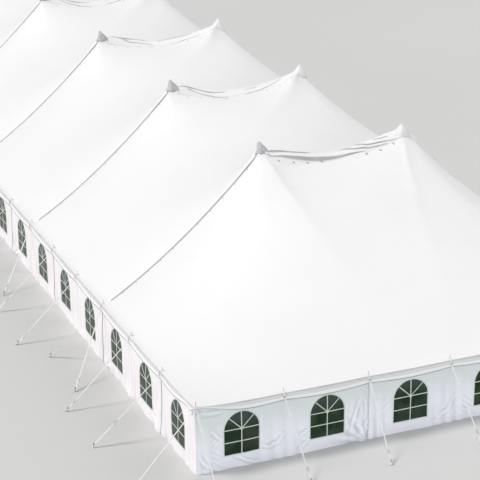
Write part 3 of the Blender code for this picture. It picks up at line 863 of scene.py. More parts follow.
def addEdge(number, laceY, spots):
    # a folded edge that stands up on the flap
    spots = np.array(spots)
    xs = np.linspace(spots[0, 0], spots[-1, 0], max(8, round((spots[-1, 0] - spots[0, 0]) / 0.035)))
    offs = np.interp(xs, spots[:, 0], spots[:, 1])
    tall = np.interp(xs, spots[:, 0], spots[:, 2])
    for turn in range(2):
        for values in (offs, tall):
            values[1:-1] = np.convolve(values, [0.25, 0.5, 0.25], "same")[1:-1]
    tall *= np.clip(np.minimum(xs - xs[0], xs[-1] - xs) / 0.05, 0.15, 1)
    outline = np.array([(-0.006, -0.003), (-0.0055, 0.7), (-0.003, 1.0), (0.003, 1.0), (0.0055, 0.7), (0.006, -0.003)])
    strip, i, j = gridSheet(len(xs), len(outline))
    off = offs[i] + outline[j, 0]
    top = roofHeight(xs, laceY + offs) + flapTop(number, xs, offs) * flapSize(xs)
    rise = np.where(outline[j, 1] > 0, outline[j, 1] * tall[i], outline[j, 1])
    writePoints(strip, np.column_stack((xs[i], laceY + off, top[i] + rise)))
    writeMap(strip, np.column_stack((xs[i], outline[j, 1] * 0.02)))
    thicken(strip, 0.0012, 0)
    return strip


def tabMaster():
    # a short strap, arched over the lace and tucked in at both ends
    length, width, height = lacing["tab"]
    tab = addShape(bpy.ops.mesh.primitive_cube_add, scale=(length, width, 0.003), size=1)
    slicePiece(tab, (1, 0, 0), (-length / 4, length / 4, 0))
    points = readPoints(tab)
    out = points[:, 0] / (length / 2)
    points[:, 2] += height * (1 - out**2) - 0.001
    points[:, 1] *= 1 - 0.25 * np.abs(out)
    writePoints(tab, points)
    return bevelEdges(tab, 0.0009)


def roofTurn(x, y):
    # a frame that lies on the roof: first axis down to the right on the picture's side
    step = 0.02
    alongX = Vector((2 * step, 0, float(roofHeight(x + step, y) - roofHeight(x - step, y)))).normalized()
    alongY = Vector((0, 2 * step, float(roofHeight(x, y + step) - roofHeight(x, y - step)))).normalized()
    up = alongX.cross(alongY).normalized()
    return Matrix((alongX, up.cross(alongX), up)).transposed().to_4x4()


def addTab(master, x, y, rise, turn, size):
    turned = Matrix.Rotation(math.radians(turn), 4, "Z") @ Matrix.Scale(size, 4)
    place = Matrix.Translation((x, y, float(roofHeight(x, y)) + rise))
    return copyPiece(master, place @ roofTurn(x, y) @ turned)


def addTabs():
    master = tabMaster()
    made = []
    rng = np.random.default_rng(7)
    for index, laceY in enumerate(laceLines):
        for x, off, lean in lacing["ridgeTabs"]:
            y = laceY - off + rng.uniform(-0.003, 0.003)
            under = float(flapTop(index, [x], [y - laceY])[0])
            made.append(addTab(master, x, y, under + 0.0035, lean + rng.uniform(-4, 4), 0.6 if index else 1.0))
        for side in (-1, 1):
            for x in np.arange(tent["peakX"] + 0.3, tent["halfWidth"] - 0.2, lacing["tabGap"]):
                y = laceY + 0.095 * side + rng.uniform(-0.004, 0.004)
                made.append(addTab(master, side * x, y, 0.0008, 90 + rng.uniform(-8, 8), 0.55))
    removePieces([master])
    finishPiece(joinPieces(made), laceTape, 40, name="lacingTabs")


edges = []
for index, laceY in enumerate(laceLines):
    addFlap(index, laceY)
    for spots in ridgeEdges[index if index < 3 else index - 2]:
        edges.append(addEdge(index, laceY, spots))
# the standing edges are painted grey for the shade along them
finishPiece(joinPieces(edges), ridgeTapeAndShade, 50, name="flapEdges")
addTabs()
print("lace lines made")

caps = {
    "rings": 22,
    "around": 48,
    "thickness": 0.002,
    # rise over the peak, then the reach to the left, to the right and to front and back
    "first": [(0.000, 0.098, 0.184, 0.092), (0.008, 0.094, 0.182, 0.090), (0.018, 0.088, 0.176, 0.087),
              (0.035, 0.075, 0.158, 0.082), (0.068, 0.062, 0.132, 0.076), (0.102, 0.058, 0.104, 0.068),
              (0.136, 0.054, 0.078, 0.058), (0.168, 0.050, 0.053, 0.046), (0.198, 0.040, 0.031, 0.033),
              (0.222, 0.020, 0.014, 0.017), (0.235, 0.006, 0.006, 0.006)],
    "left": [(0.012, 0.120, 0.184, 0.080), (0.018, 0.118, 0.180, 0.080), (0.026, 0.112, 0.172, 0.078),
             (0.040, 0.102, 0.156, 0.075), (0.068, 0.088, 0.132, 0.070), (0.102, 0.071, 0.104, 0.062),
             (0.136, 0.054, 0.078, 0.060), (0.168, 0.050, 0.053, 0.047), (0.198, 0.040, 0.031, 0.033),
             (0.222, 0.020, 0.014, 0.017), (0.235, 0.006, 0.006, 0.006)],
    "right": [(-0.010, 0.182, 0.182, 0.112), (0.000, 0.175, 0.175, 0.108), (0.020, 0.163, 0.163, 0.104),
              (0.045, 0.146, 0.146, 0.098), (0.070, 0.128, 0.128, 0.090), (0.100, 0.106, 0.106, 0.078),
              (0.130, 0.082, 0.082, 0.066), (0.160, 0.058, 0.058, 0.050), (0.190, 0.034, 0.034, 0.032),
              (0.215, 0.016, 0.016, 0.016), (0.233, 0.006, 0.006, 0.006)],
    "firstRightLow": 0.88,
    "lean": {-1: -0.030, 1: 0.0},
    "pleats": {-1: 1.0, 1: 0.55},
}


def capShape(side, laceY):
    isFirst = laceY == laceLines[0]
    if side > 0:
        return np.array(caps["right"]) * (caps["firstRightLow"] if isFirst else 1.0, 1, 1, 1)
    return np.array(caps["first" if isFirst else "left"])


def capReach(shape, angle, rise):
    # how far a cap reaches from its peak at an angle and height
    left, right, front = (np.interp(rise, shape[:, 0], shape[:, column]) for column in (1, 2, 3))
    return np.where(np.cos(angle) < 0, left, right) * np.cos(angle), front * np.sin(angle)


def addCap(node, side, laceY, seed):
    shape = capShape(side, laceY)
    radii = shape[:, 1:3].mean(axis=1)
    rises = shape[:, 0]
    top = caps["rings"] - 1
    path = np.concatenate(([0], np.cumsum(np.hypot(np.diff(radii), np.diff(rises)))))
    wanted = np.linspace(0, path[-1], caps["rings"])
    rise = np.interp(wanted, path, rises)
    cap = addShape(bpy.ops.mesh.primitive_cone_add, vertices=caps["around"], radius1=1, radius2=0, depth=1,
                   end_fill_type="NOTHING")
    slicePiece(cap, (0, 0, 1), [ring / top - 0.5 for ring in range(1, top)])
    points = readPoints(cap)
    level = np.rint((points[:, 2] + 0.5) * top).astype(int)
    angle = np.arctan2(points[:, 1], points[:, 0])
    share = level / top
    # gathers run up the cap, deepest half-way
    pleat = (np.cos(7 * angle + seed) * 0.055 + np.cos(12 * angle + 2.3 * seed) * 0.03) * caps["pleats"][side]
    bend = np.sin(np.pi * np.clip(share * 1.15, 0, 1)) ** 0.8
    crumple = np.array([noise.noise(Vector((math.cos(a) * 1.7, math.sin(a) * 1.7, s * 3.1 + seed)))
                        for a, s in zip(angle, share)])
    swell = 1 + pleat * (0.35 + bend) + 0.10 * crumple * bend * caps["pleats"][side]
    reachX, reachY = capReach(shape, angle, rise[level])
    x = side * tent["peakX"] + reachX * swell + caps["lean"][side] * share**1.5
    y = laceY + reachY * swell
    ground = roofHeight(x, y)
    hold = np.clip(1 - level / 7.0, 0, 1) ** 1.4
    z = tent["peak"] + rise[level] * (1 + 0.04 * crumple * bend) + 0.004
    z = z + (np.minimum(ground, tent["peak"]) - tent["peak"]) * hold
    z = np.maximum(z, ground + 0.010 + 0.004 * np.cos(9 * angle + seed) * (level == 0))
    z = np.where(level == 0, z - 0.004, z)
    writePoints(cap, np.column_stack((x, y, z)))
    writeMap(cap, np.column_stack((angle * 0.1, wanted[level])))
    thicken(cap, caps["thickness"], 1)
    finishPiece(cap, capVinyl if side < 0 else capWhite, 50, node=node)


def addBand(side, laceY):
    # the drawstring that closes a cap's hem, with its knot
    band = addShape(bpy.ops.mesh.primitive_torus_add, major_segments=40, minor_segments=8, major_radius=0.1,
                    minor_radius=0.0055, location=(0, 0, 0))
    points = readPoints(band)
    angle = np.arctan2(points[:, 1], points[:, 0])
    out = np.hypot(points[:, 0], points[:, 1]) - 0.1
    reachX, reachY = capReach(capShape(side, laceY), angle, 0.014)
    centreX = side * tent["peakX"] + reachX
    centreY = laceY + reachY
    ground = np.minimum(roofHeight(centreX, centreY), tent["peak"])
    z = points[:, 2] + ground * 0.6 + tent["peak"] * 0.4 + 0.020
    writePoints(band, np.column_stack((centreX + out * np.cos(angle), centreY + out * np.sin(angle), z)))
    knot = addShape(bpy.ops.mesh.primitive_ico_sphere_add, subdivisions=2, radius=0.019)
    rough = [np.array(point) * (1 + 0.35 * noise.noise(Vector(point) * 60)) for point in readPoints(knot)]
    x, y = side * (tent["peakX"] + 0.106), laceY - 0.03
    place = np.array((x, y, float(roofHeight(x, y)) + 0.018))
    writePoints(knot, np.array(rough) * np.array((1.0, 1.3, 0.8)) + place)
    return joinPieces([band, knot])


bands = []
for number, laceY in enumerate(laceLines, 1):
    for side, word in ((-1, "left"), (1, "right")):
        addCap("peak_cap_%d_%s" % (number, word), side, laceY, (number - 1) * 1.7 + side)
        if side < 0:
            bands.append(addBand(side, laceY))
finishPiece(joinPieces(bands), laceTape, 60, name="capDrawstrings")
print("caps made")

window = {"half": 0.3, "sill": 0.23, "spring": 0.665, "top": 1.145, "middleBar": 0.447, "lap": 0.014, "paneLines": 13}
welt = {
    "counts": (14, 18, 8),
    # outward from the window's outline, and depth
    "profile": [(-0.001, 0.0005), (0.000, 0.0060), (0.003, 0.0072), (0.013, 0.0070), (0.016, 0.0058),
                (0.0175, 0.0030)],
}
wallNet = {
    # faces up each side, over the top and along the bottom of a window, then rings round it
    "fine": ((46, 40, 40), 24),
    "plain": ((24, 26, 24), 12),
    "thickness": 0.003,
    "outer": 0.004,
}
foldLight = {"reach": 0.026, "depth": 0.0035}
# How far the cloth of a wall stands out, by cause, and how far round it that reaches.
clothPush = {
    "bulge": 0.010,
    "poleFold": 0.024,
    "poleReach": 0.33,
    "ripple": 0.007,
    "wander": 0.006,
    "hemWander": 0.012,
    "dragReach": 0.15,
    "fanReach": 0.34,
    "fanWidth": 0.26,
}
wallSigns = {"left": -1, "right": 1, "front": -1, "back": 1}
# Windows that hang a little off their place: shift along the wall, shift up and how much wider.
windowShifts = {
    ("front", -3.81): (0.024, 0.012, 1.01), ("front", -2.286): (0.014, -0.006, 1.01),
    ("front", -0.762): (0.026, -0.028, 1.05), ("front", 0.762): (0.030, -0.020, 1.02),
    ("back", -0.762): (-0.020, -0.015, 1.02), ("back", 2.286): (0.018, 0.010, 1.01),
}
# Where the wall's panels overlap: every other pole.
sideSeams = [-tent["halfLength"] + tent["bay"] * k for k in range(1, 18, 2)]
endSeams = [-tent["bay"], tent["bay"]]
# Cloth bunched at the foot of a wall: wall, place along it, how far out, half-width and height.
pockets = [
    ("left", -12.05, 0.055, 0.16, 0.10), ("left", -10.62, 0.030, 0.12, 0.08), ("left", -7.80, 0.050, 0.18, 0.10),
    ("left", -3.10, 0.040, 0.15, 0.09), ("left", 3.20, 0.045, 0.16, 0.10), ("left", 9.30, 0.040, 0.15, 0.09),
    ("right", -9.00, 0.045, 0.16, 0.10), ("right", 0.20, 0.040, 0.15, 0.09), ("right", 7.70, 0.045, 0.17, 0.09),
    ("front", 1.30, 0.030, 0.14, 0.09), ("back", -1.30, 0.040, 0.16, 0.10), ("back", 3.00, 0.030, 0.14, 0.09),
]
# Folds that fan out from the foot of a seam: wall, place along it, side and depth.
fans = [
    ("front", -1.55, -1, 0.017), ("front", 1.50, -1, 0.013), ("back", 1.55, 1, 0.016), ("back", -1.50, 1, 0.010),
    ("left", -12.19, 1, 0.012), ("left", -9.14, -1, 0.013), ("left", -6.10, 1, 0.011), ("left", -3.05, -1, 0.013),
    ("left", 3.05, 1, 0.012), ("left", 9.14, -1, 0.012), ("right", -12.19, -1, 0.013), ("right", -6.10, 1, 0.012),
    ("right", 0.00, -1, 0.012), ("right", 6.10, 1, 0.013), ("right", 12.19, -1, 0.012),
]
# Single folds in the cloth: wall, depth, half-width and the line each follows.
wallFolds = [
    ("front", 0.017, 0.032, [(-4.52, 1.046), (-4.30, 1.028), (-4.10, 1.036), (-3.88, 1.074)]),
    ("front", 0.016, 0.026, [(-3.06, 0.420), (-3.16, 0.302), (-3.36, 0.242)]),
    ("front", 0.012, 0.022, [(-3.47, 0.298), (-3.26, 0.237)]),
    ("front", 0.014, 0.024, [(-2.61, 0.413), (-2.74, 0.342)]),
    ("front", 0.014, 0.024, [(-2.61, 0.220), (-2.75, 0.109)]),
    ("front", 0.017, 0.026, [(-3.87, 0.195), (-3.70, 0.089), (-3.52, 0.014)]),
    ("front", 0.014, 0.024, [(-4.29, 0.714), (-4.19, 0.592), (-4.11, 0.540)]),
    ("front", 0.018, 0.028, [(-4.55, 0.363), (-4.43, 0.163), (-4.20, 0.000)]),
    ("front", 0.009, 0.020, [(-3.44, 0.947), (-3.44, 0.222)]),
    ("front", 0.014, 0.024, [(-4.29, 0.132), (-4.17, 0.000)]),
    ("front", 0.018, 0.028, [(-1.69, 0.734), (-1.77, 0.472), (-1.84, 0.205)]),
    ("front", 0.016, 0.026, [(-1.51, 0.380), (-1.60, 0.229), (-1.71, 0.082), (-1.90, 0.103)]),
    ("front", 0.012, 0.022, [(-1.59, 0.790), (-1.55, 0.520)]),
    ("front", 0.014, 0.024, [(-1.51, 0.285), (-1.65, 0.051)]),
    ("front", 0.015, 0.026, [(0.10, 0.470), (-0.02, 0.250), (-0.21, 0.140)]),
    ("front", 0.014, 0.026, [(1.38, 0.640), (1.33, 0.390), (1.20, 0.130)]),
    ("front", 0.016, 0.028, [(3.14, 0.510), (3.02, 0.240), (2.78, 0.110)]),
    ("front", 0.015, 0.026, [(4.47, 0.740), (4.33, 0.420), (4.30, 0.130)]),
    ("back", 0.016, 0.028, [(-3.14, 0.510), (-3.02, 0.240), (-2.78, 0.110)]),
    ("back", 0.014, 0.026, [(0.02, 0.620), (0.09, 0.390), (0.22, 0.130)]),
    ("back", 0.015, 0.026, [(3.08, 0.460), (3.20, 0.250), (3.38, 0.140)]),
]
for turn in range(12):
    # along the sides they are fewer, and lean to either hand
    lean = 0.10 if turn % 2 else -0.12
    post = -tent["halfLength"] + tent["bay"] * (1.5 * turn + 0.5 - 0.5 * (turn % 2))
    for wall, shift in (("left", 0.06), ("right", -0.08)):
        wallFolds.append((wall, 0.013, 0.026, [(post + shift, 0.62), (post + shift + lean, 0.36),
                                               (post + shift + 2.2 * lean, 0.12)]))


def isSide(wall):
    return wall in ("left", "right")


def wallEnd(wall):
    return tent["halfLength"] if isSide(wall) else tent["halfWidth"]


def wallOut(wall):
    return Vector((wallSigns[wall], 0, 0) if isSide(wall) else (0, wallSigns[wall], 0))


def foldPush(wall, along, z):
    # each fold is a ridge with a softer hollow beside it
    total = np.zeros(np.shape(along))
    for name, depth, width, line in wallFolds:
        if name != wall:
            continue
        best = np.full(np.shape(along), 9.0)
        hand = np.zeros(np.shape(along))
        place = np.zeros(np.shape(along))
        for number, (start, end) in enumerate(zip(line[:-1], line[1:])):
            run = np.array(end) - np.array(start)
            length = np.hypot(*run)
            share = ((along - start[0]) * run[0] + (z - start[1]) * run[1]) / length**2
            held = np.clip(share, 0, 1)
            gap = np.hypot(along - start[0] - held * run[0], z - start[1] - held * run[1])
            turn = np.sign((along - start[0]) * run[1] - (z - start[1]) * run[0])
            nearer = gap < best
            best = np.where(nearer, gap, best)
            hand = np.where(nearer, turn, hand)
            place = np.where(nearer, (number + held) / (len(line) - 1), place)
        strength = 1.35 * depth * np.sin(np.pi * np.clip(0.12 + 0.76 * place, 0, 1))
        off = best * hand
        hollow = np.exp(-(((off - 1.7 * width) / (1.3 * width)) ** 2))
        total += strength * (np.exp(-((best / width) ** 2)) - 0.45 * hollow)
    return total


def waves(along, z, seed, scaleAlong, scaleZ):
    # a cheap smooth noise made of crossing waves
    rng = np.random.default_rng(seed)
    total = np.zeros(np.shape(along))
    for step in range(7):
        turnAlong, turnZ = rng.uniform(0.55, 1.5, 2)
        phase, lean = rng.uniform(0, 6.283, 2)
        total += np.sin(along * scaleAlong * turnAlong + z * scaleZ * turnZ * math.sin(lean) + phase)
    return total / 3.2


def wallPush(wall, along, z):
    # how far the cloth of a wall stands out from its plane
    along = np.asarray(along, dtype=float)
    z = np.asarray(z, dtype=float)
    seed = ("left", "right", "front", "back").index(wall) * 11
    limit = wallEnd(wall)
    place = (along + limit) / tent["bay"]
    share = place - np.floor(place)
    bay = np.floor(place)
    offPole = np.minimum(share, 1 - share) * tent["bay"]
    signed = np.where(share < 0.5, share, share - 1) * tent["bay"]
    post = np.rint(place)
    fall = smoothStep(z, 1.03, 0.72)
    low = np.clip(1 - z / 1.05, 0, 1)
    inWindow = smoothStep(np.abs(share - 0.5) * tent["bay"], 0.40, 0.27) * smoothStep(z, 0.16, 0.26)
    loose = (1 - 0.82 * inWindow) * fall
    push = clothPush["bulge"] * np.sin(np.pi * share) * fall
    # upright folds by the poles, deeper toward the ground
    fold = 0.5 + 0.5 * np.cos(signed * 2 * np.pi / (0.21 + 0.05 * np.sin(post * 2.1)) + post * 1.9 + z * 1.1)
    push += clothPush["poleFold"] * (0.25 + low) * np.exp(-((offPole / clothPush["poleReach"]) ** 2)) * fold * loose
    push += clothPush["ripple"] * waves(along, z, seed + 3, 17.0, 4.0) * loose * (0.3 + low)
    push += clothPush["wander"] * waves(along, z, seed + 5, 6.0, 5.0) * loose
    # drags from the windows' corners
    for corner in (-1, 1):
        for height, strength, tilt in ((window["sill"], 0.006, -1), (window["spring"] - 0.05, 0.004, 1)):
            across = (share - 0.5) * tent["bay"] - corner * window["half"]
            rise = z - height
            reach = np.hypot(across - corner * 0.10, rise + tilt * 0.05)
            own = np.sin(bay * 2.7 + 1.9 * corner + tilt + seed)
            spread = 0.125 + 0.030 * np.sin(bay * 1.7 + corner)
            bend = (across * corner * (0.55 + 0.3 * own) + tilt * rise) * 2 * np.pi / spread
            drag = np.sin(bend + bay * 1.3 + corner) * np.exp(-((reach / clothPush["dragReach"]) ** 2))
            push += strength * (0.45 + 0.45 * own) * drag * loose
    for name, start, side, depth in fans:
        if name != wall:
            continue
        across = (along - start) * side
        rise = z + 0.04
        reach = np.hypot(across, rise)
        angle = np.arctan2(rise, across)
        near = np.exp(-(((reach - clothPush["fanReach"]) / clothPush["fanWidth"]) ** 2))
        near = near * smoothStep(across, -0.02, 0.06)
        push += depth * np.cos(angle * 15 + 0.8) * near * loose
    for name, start, out, width, height in pockets:
        if name == wall:
            push += out * np.exp(-(((along - start) / width) ** 2) - ((z - 0.045) / height) ** 2)
    # the hem wanders, and stays clear of the ground's edge at the posts
    push += clothPush["hemWander"] * waves(along, z, seed + 7, 5.0, 1.0) * smoothStep(z, 0.16, 0.0)
    push += foldPush(wall, along, z) * (1 - 0.8 * inWindow)
    push = np.maximum(push, -0.0015 - 0.03 * smoothStep(offPole, 0.05, 0.18))
    # the two walls of a corner meet at its post
    return push * smoothStep(limit - np.abs(along), 0.0, 0.10) * smoothStep(z, 1.11, 1.05)


def wallPlace(wall, along, z, depth):
    # points from place along the wall, height and depth outward; the top rises with the roof at the corners
    corner = np.exp(-np.clip(wallEnd(wall) - np.abs(along), 0, None) / 0.33)
    z = z + roofNet["cornerLift"] * corner * smoothStep(z, 0.85, 1.145)
    if isSide(wall):
        return np.column_stack((wallSigns[wall] * (tent["halfWidth"] + depth), along, z))
    return np.column_stack((along, wallSigns[wall] * (tent["halfLength"] + depth), z))


def archLoop(half, sill, spring, counts):
    # the window's outline from its lower left corner, up, over and back along the sill
    side, top, bottom = counts
    straight = spring - sill
    high = straight + half * math.pi / 4

    def climb(first, last):
        run = np.linspace(first, last, side, endpoint=False)
        turn = np.clip((run - straight) / half, 0, None)
        return np.column_stack((half * np.cos(turn), sill + np.minimum(run, straight) + half * np.sin(turn)))

    left = climb(0, high) * (-1, 1)
    angles = np.linspace(3 * math.pi / 4, math.pi / 4, top, endpoint=False)
    over = np.column_stack((half * np.cos(angles), spring + half * np.sin(angles)))
    base = np.column_stack((np.linspace(half, -half, bottom, endpoint=False), np.full(bottom, sill)))
    return np.concatenate((left, over, climb(high, 0), base, left[:1]))


def boxLoop(half, low, high, counts):
    side, top, bottom = counts
    left = np.column_stack((np.full(side, -half), np.linspace(low, high, side, endpoint=False)))
    over = np.column_stack((np.linspace(-half, half, top, endpoint=False), np.full(top, high)))
    right = np.column_stack((np.full(side, half), np.linspace(high, low, side, endpoint=False)))
    base = np.column_stack((np.linspace(half, -half, bottom, endpoint=False), np.full(bottom, low)))
    return np.concatenate((left, over, right, base, left[:1]))


def bayMaster(counts, rings):
    # one bay of wall, flat in x and z, with its faces running round the window
    inner = archLoop(window["half"], window["sill"], window["spring"], counts)
    outer = boxLoop(tent["bay"] / 2, 0.0, window["top"], counts)
    sheet, i, j = gridSheet(len(inner), rings + 1)
    share = np.linspace(0, 1, rings + 1)[j][:, None]
    flat = inner[i] * (1 - share) + outer[i] * share
    writePoints(sheet, np.column_stack((flat[:, 0], np.zeros(len(flat)), flat[:, 1])))
    return sheet


def weltMaster():
    # a welt that follows the window's outline
    profile = np.array(welt["profile"])
    loop = archLoop(window["half"], window["sill"], window["spring"], welt["counts"])
    sheet, i, j = gridSheet(len(loop), len(profile))
    around = np.roll(loop[:-1], -1, axis=0) - np.roll(loop[:-1], 1, axis=0)
    around = np.concatenate((around, around[:1]))
    outward = np.column_stack((-around[:, 1], around[:, 0])) / np.hypot(*around.T)[:, None]
    flat = loop[i] + outward[i] * profile[j, :1]
    writePoints(sheet, np.column_stack((flat[:, 0], profile[j, 1], flat[:, 1])))
    return sheet


def barStrip(start, end, width, depth):
    # a flat bar with rounded edges, in pieces short enough to follow the cloth
    start, end = np.array(start), np.array(end)
    length = float(np.hypot(*(end - start)))
    count = max(3, round(length / 0.05))
    profile = np.array([(-width / 2, 0.0), (-width / 2 + 0.002, depth * 0.8), (-width / 2 + 0.005, depth),
                        (width / 2 - 0.005, depth), (width / 2 - 0.002, depth * 0.8), (width / 2, 0.0)])
    sheet, i, j = gridSheet(count + 1, len(profile))
    ahead = (end - start) / length
    across = np.array((-ahead[1], ahead[0]))
    flat = start + (end - start) * (i / count)[:, None] + across * profile[j, :1]
    writePoints(sheet, np.column_stack((flat[:, 0], profile[j, 1], flat[:, 1])))
    return sheet


def barsMaster():
    half, sill, spring = window["half"], window["sill"], window["spring"]
    slant = half * 0.995 * math.sqrt(0.5)
    level, middle = spring + 0.004, window["middleBar"]
    strips = [barStrip((0, sill), (0, spring + half), 0.0185, 0.0034)]
    strips += [barStrip((-half, z), (half, z), 0.018, 0.0030) for z in (level, middle)]
    strips += [barStrip((side * 0.004, spring + 0.008), (side * slant, spring + slant), 0.0165, 0.0026)
               for side in (-1, 1)]
    hub = addShape(bpy.ops.mesh.primitive_cylinder_add, vertices=20, radius=0.024, depth=0.0036,
                   location=(0, 0.0020, spring), rotation=(math.pi / 2, 0, 0))
    return joinPieces(strips + [bevelEdges(hub, 0.0012, 2)])


def paneMaster():
    half, sill, spring = window["half"] + window["lap"], window["sill"] - window["lap"], window["spring"]
    lines = window["paneLines"]
    columns = -np.cos(np.linspace(0, math.pi, lines))
    sheet, i, j = gridSheet(lines, lines)
    x = half * columns[i]
    top = spring + np.sqrt(np.maximum(half**2 - x**2, 0))
    z = sill + (top - sill) * np.linspace(0, 1, lines)[j]
    writePoints(sheet, np.column_stack((x, np.zeros(len(x)), z)))
    return sheet


def placeOnWall(piece, wall, centre):
    points = readPoints(piece)
    across = points[:, 0] * (wallSigns[wall] if isSide(wall) else -wallSigns[wall])
    along = across + centre
    z = points[:, 2]
    shiftX, shiftZ, wider = windowShifts.get((wall, round(centre, 3)), (0, 0, 1))
    # the shift fades out between the window and the bay's edges
    hold = smoothStep(tent["bay"] / 2 - np.abs(across), 0, tent["bay"] / 2 - window["half"] - 0.03)
    hold = hold * smoothStep(z, 0, window["sill"] - 0.02) * smoothStep(window["top"] - z, 0, 0.17)
    along = along + (shiftX + across * (wider - 1)) * hold
    z = z + shiftZ * hold
    writePoints(piece, wallPlace(wall, along, z, wallPush(wall, along, z) + points[:, 1]))
    return np.column_stack((along, z))


def copiesOnWall(master, wall, centres):
    made = [copyPiece(master) for centre in centres]
    for piece, centre in zip(made, centres):
        placeOnWall(piece, wall, centre)
    return made


def shadeFolds(sheet, wall, flat):
    # how far each point lies in a hollow, for the painted shade and light of the cloth's material
    along, z = flat.T
    reach = foldLight["reach"]
    around = sum(wallPush(wall, along + a, z + b) for a, b in ((reach, 0), (-reach, 0), (0, reach), (0, -reach))) / 4
    depth = (around - wallPush(wall, along, z)) / foldLight["depth"]
    shade = sheet.data.attributes.new("foldShade", "FLOAT", "POINT")
    shade.data.foreach_set("value", np.clip(depth, -1, 1).astype(np.float32))


def addWall(node, wall, centres):
    pieces = []
    for centre in centres:
        made = copyPiece(wallMasters["fine" if wall == "front" else "plain"])
        flat = placeOnWall(made, wall, centre)
        writeMap(made, flat)
        shadeFolds(made, wall, flat)
        pieces.append(made)
    sheet = cleanPiece(joinPieces(pieces), 0.0002)
    outward = wallOut(wall)
    if sum(face.normal.dot(outward) * face.area for face in sheet.data.polygons) < 0:
        sheet.data.flip_normals()
    writePoints(sheet, readPoints(sheet) + np.array(outward) * wallNet["outer"])
    thicken(sheet, wallNet["thickness"], -1)
    finishPiece(sheet, sideVinyl if isSide(wall) else wallVinyl, 45, node=node)


def wallPanels(wall):
    # node, start and bays of each panel
    start, step, bays, words = -tent["halfWidth"], 2 * tent["bay"], 2, ("left", "middle", "right")
    if isSide(wall):
        start, step, bays, words = laceLines[0] - tent["section"], tent["section"], 3, "123456"
    return [("wall_%s_%s" % (wall, word), start + step * k, bays) for k, word in enumerate(words)]


def filmMaterial():
    made, tree, shader = newMaterial("clearFilm")
    place = objectPlace(tree)
    cloud = cloudsAt(tree, place, 2.6, 4.0, Roughness=0.6)
    # painted shade and reflection: the clear film is painted dark green for the shaded inside seen through it, in
    # patches lighter with painted reflection
    colour = mixColours(tree, mapRange(tree, cloud, 0.44, 0.66, 0, 1, True), (0.003, 0.026, 0.004),
                        (0.034, 0.060, 0.034))
    # painted light: the upper panes are painted lighter, for the bright inside of the roof seen through them
    height = put(tree, "ShaderNodeSeparateXYZ", {}, {"Vector": place}).outputs["Z"]
    colour = mixColours(tree, mapRange(tree, height, 0.60, 0.92, 0, 0.8, True), colour, (0.062, 0.088, 0.076))
    setInputs(tree, shader, {
        "Base Color": colour,
        "Normal": bumpOf(tree, cloudsAt(tree, place, 7.0, 2.0), 0.012, 0.35),
        "Roughness": mapRange(tree, cloud, 0.3, 0.7, 0.10, 0.24),
        "Alpha": 0.90,
        "Specular IOR Level": 0.25,
    })
    return made


def barMaterial():
    made, tree, shader = newMaterial("barVinyl")
    place = objectPlace(tree)
    amount = mapRange(tree, cloudsAt(tree, place, 9.0, 4.0), 0.4, 0.7, 0, 1)
    setInputs(tree, shader, {
        "Base Color": mixColours(tree, amount, (0.72, 0.77, 0.735), (0.62, 0.68, 0.64)),
        "Normal": bumpOf(tree, cloudsAt(tree, place, 160.0, 2.0), 0.0005, 0.3),
        "Roughness": 0.5,
    })
    return made


wallMasters = {"fine": bayMaster(*wallNet["fine"]), "plain": bayMaster(*wallNet["plain"]), "bars": barsMaster(),
               "welt": weltMaster(), "pane": paneMaster()}
clearFilm = filmMaterial()
barVinyl = barMaterial()
for wall in wallSigns:
    panes = []
    for node, start, bays in wallPanels(wall):
        centres = [start + tent["bay"] * (k + 0.5) for k in range(bays)]
        addWall(node, wall, centres)
        trim = copiesOnWall(wallMasters["welt"], wall, centres) + copiesOnWall(wallMasters["bars"], wall, centres)
        finishPiece(cleanPiece(joinPieces(trim), 0), barVinyl, 40, name=camel(node) + "Bars")
        panes += copiesOnWall(wallMasters["pane"], wall, centres)
    film = joinPieces(panes)
    thicken(film, 0.001, 0)
    finishPiece(film, clearFilm, 60, node="window_film_" + wall)
removePieces(wallMasters.values())
print("walls and windows made")

# Strips sewn on the walls: (across, depth) over the wall's outer face.
seamProfile = {
    "hem": [(-0.034, 0.0003), (-0.033, 0.0022), (-0.030, 0.0026), (-0.008, 0.0030), (-0.0065, 0.0042)],
    "piping": [(-0.0065, 0.0010), (-0.0058, 0.0052), (-0.002, 0.0066), (0.002, 0.0066), (0.0058, 0.0052),
               (0.0068, 0.0002)],
}
# Strip round a corner: outward from the side wall, and back from the end wall.
cornerProfile = [(-0.030, -0.0035), (-0.029, -0.0058), (-0.012, -0.0066), (-0.002, -0.0072), (0.0035, -0.0066),
                 (0.0062, -0.0035), (0.0068, 0.002), (0.0062, 0.012), (0.0056, 0.034), (0.0034, 0.035)]


def wallStrip(wall, path, profile):
    # path is (along, height)
    profile = np.array(profile, dtype=float)
    ahead = np.gradient(path, axis=0)
    ahead /= np.hypot(*ahead.T)[:, None]
    across = np.column_stack((-ahead[:, 1], ahead[:, 0]))
    sheet, i, j = gridSheet(len(path), len(profile))
    flat = path[i] + across[i] * profile[j, :1]
    depth = wallPush(wall, *flat.T) + wallNet["outer"] + profile[j, 1]
    writePoints(sheet, wallPlace(wall, *flat.T, depth))
    writeMap(sheet, flat)
    return sheet


def addSeams():
    zs = np.linspace(0.012, 1.052, 34)
    for wall in wallSigns:
        # painted shade: the seams' piping is grey, for the shadow along the lapped edge of each seam
        pair = (sideVinyl, laceTape) if isSide(wall) else (wallVinyl, ridgeTapeAndShade)
        strips = []
        for seam in sideSeams if isSide(wall) else endSeams:
            path = np.column_stack((seam + 0.004 * np.sin(zs * 5 + seam), zs))
            for part, look in zip(("hem", "piping"), pair):
                strips.append(wallStrip(wall, path, seamProfile[part]))
                strips[-1].data.materials.append(look)
        piece = joinPieces(strips)
        thicken(piece, 0.0012, -1)
        finishPiece(cleanPiece(piece), None, 45, name="wallSeams" + wall.capitalize())


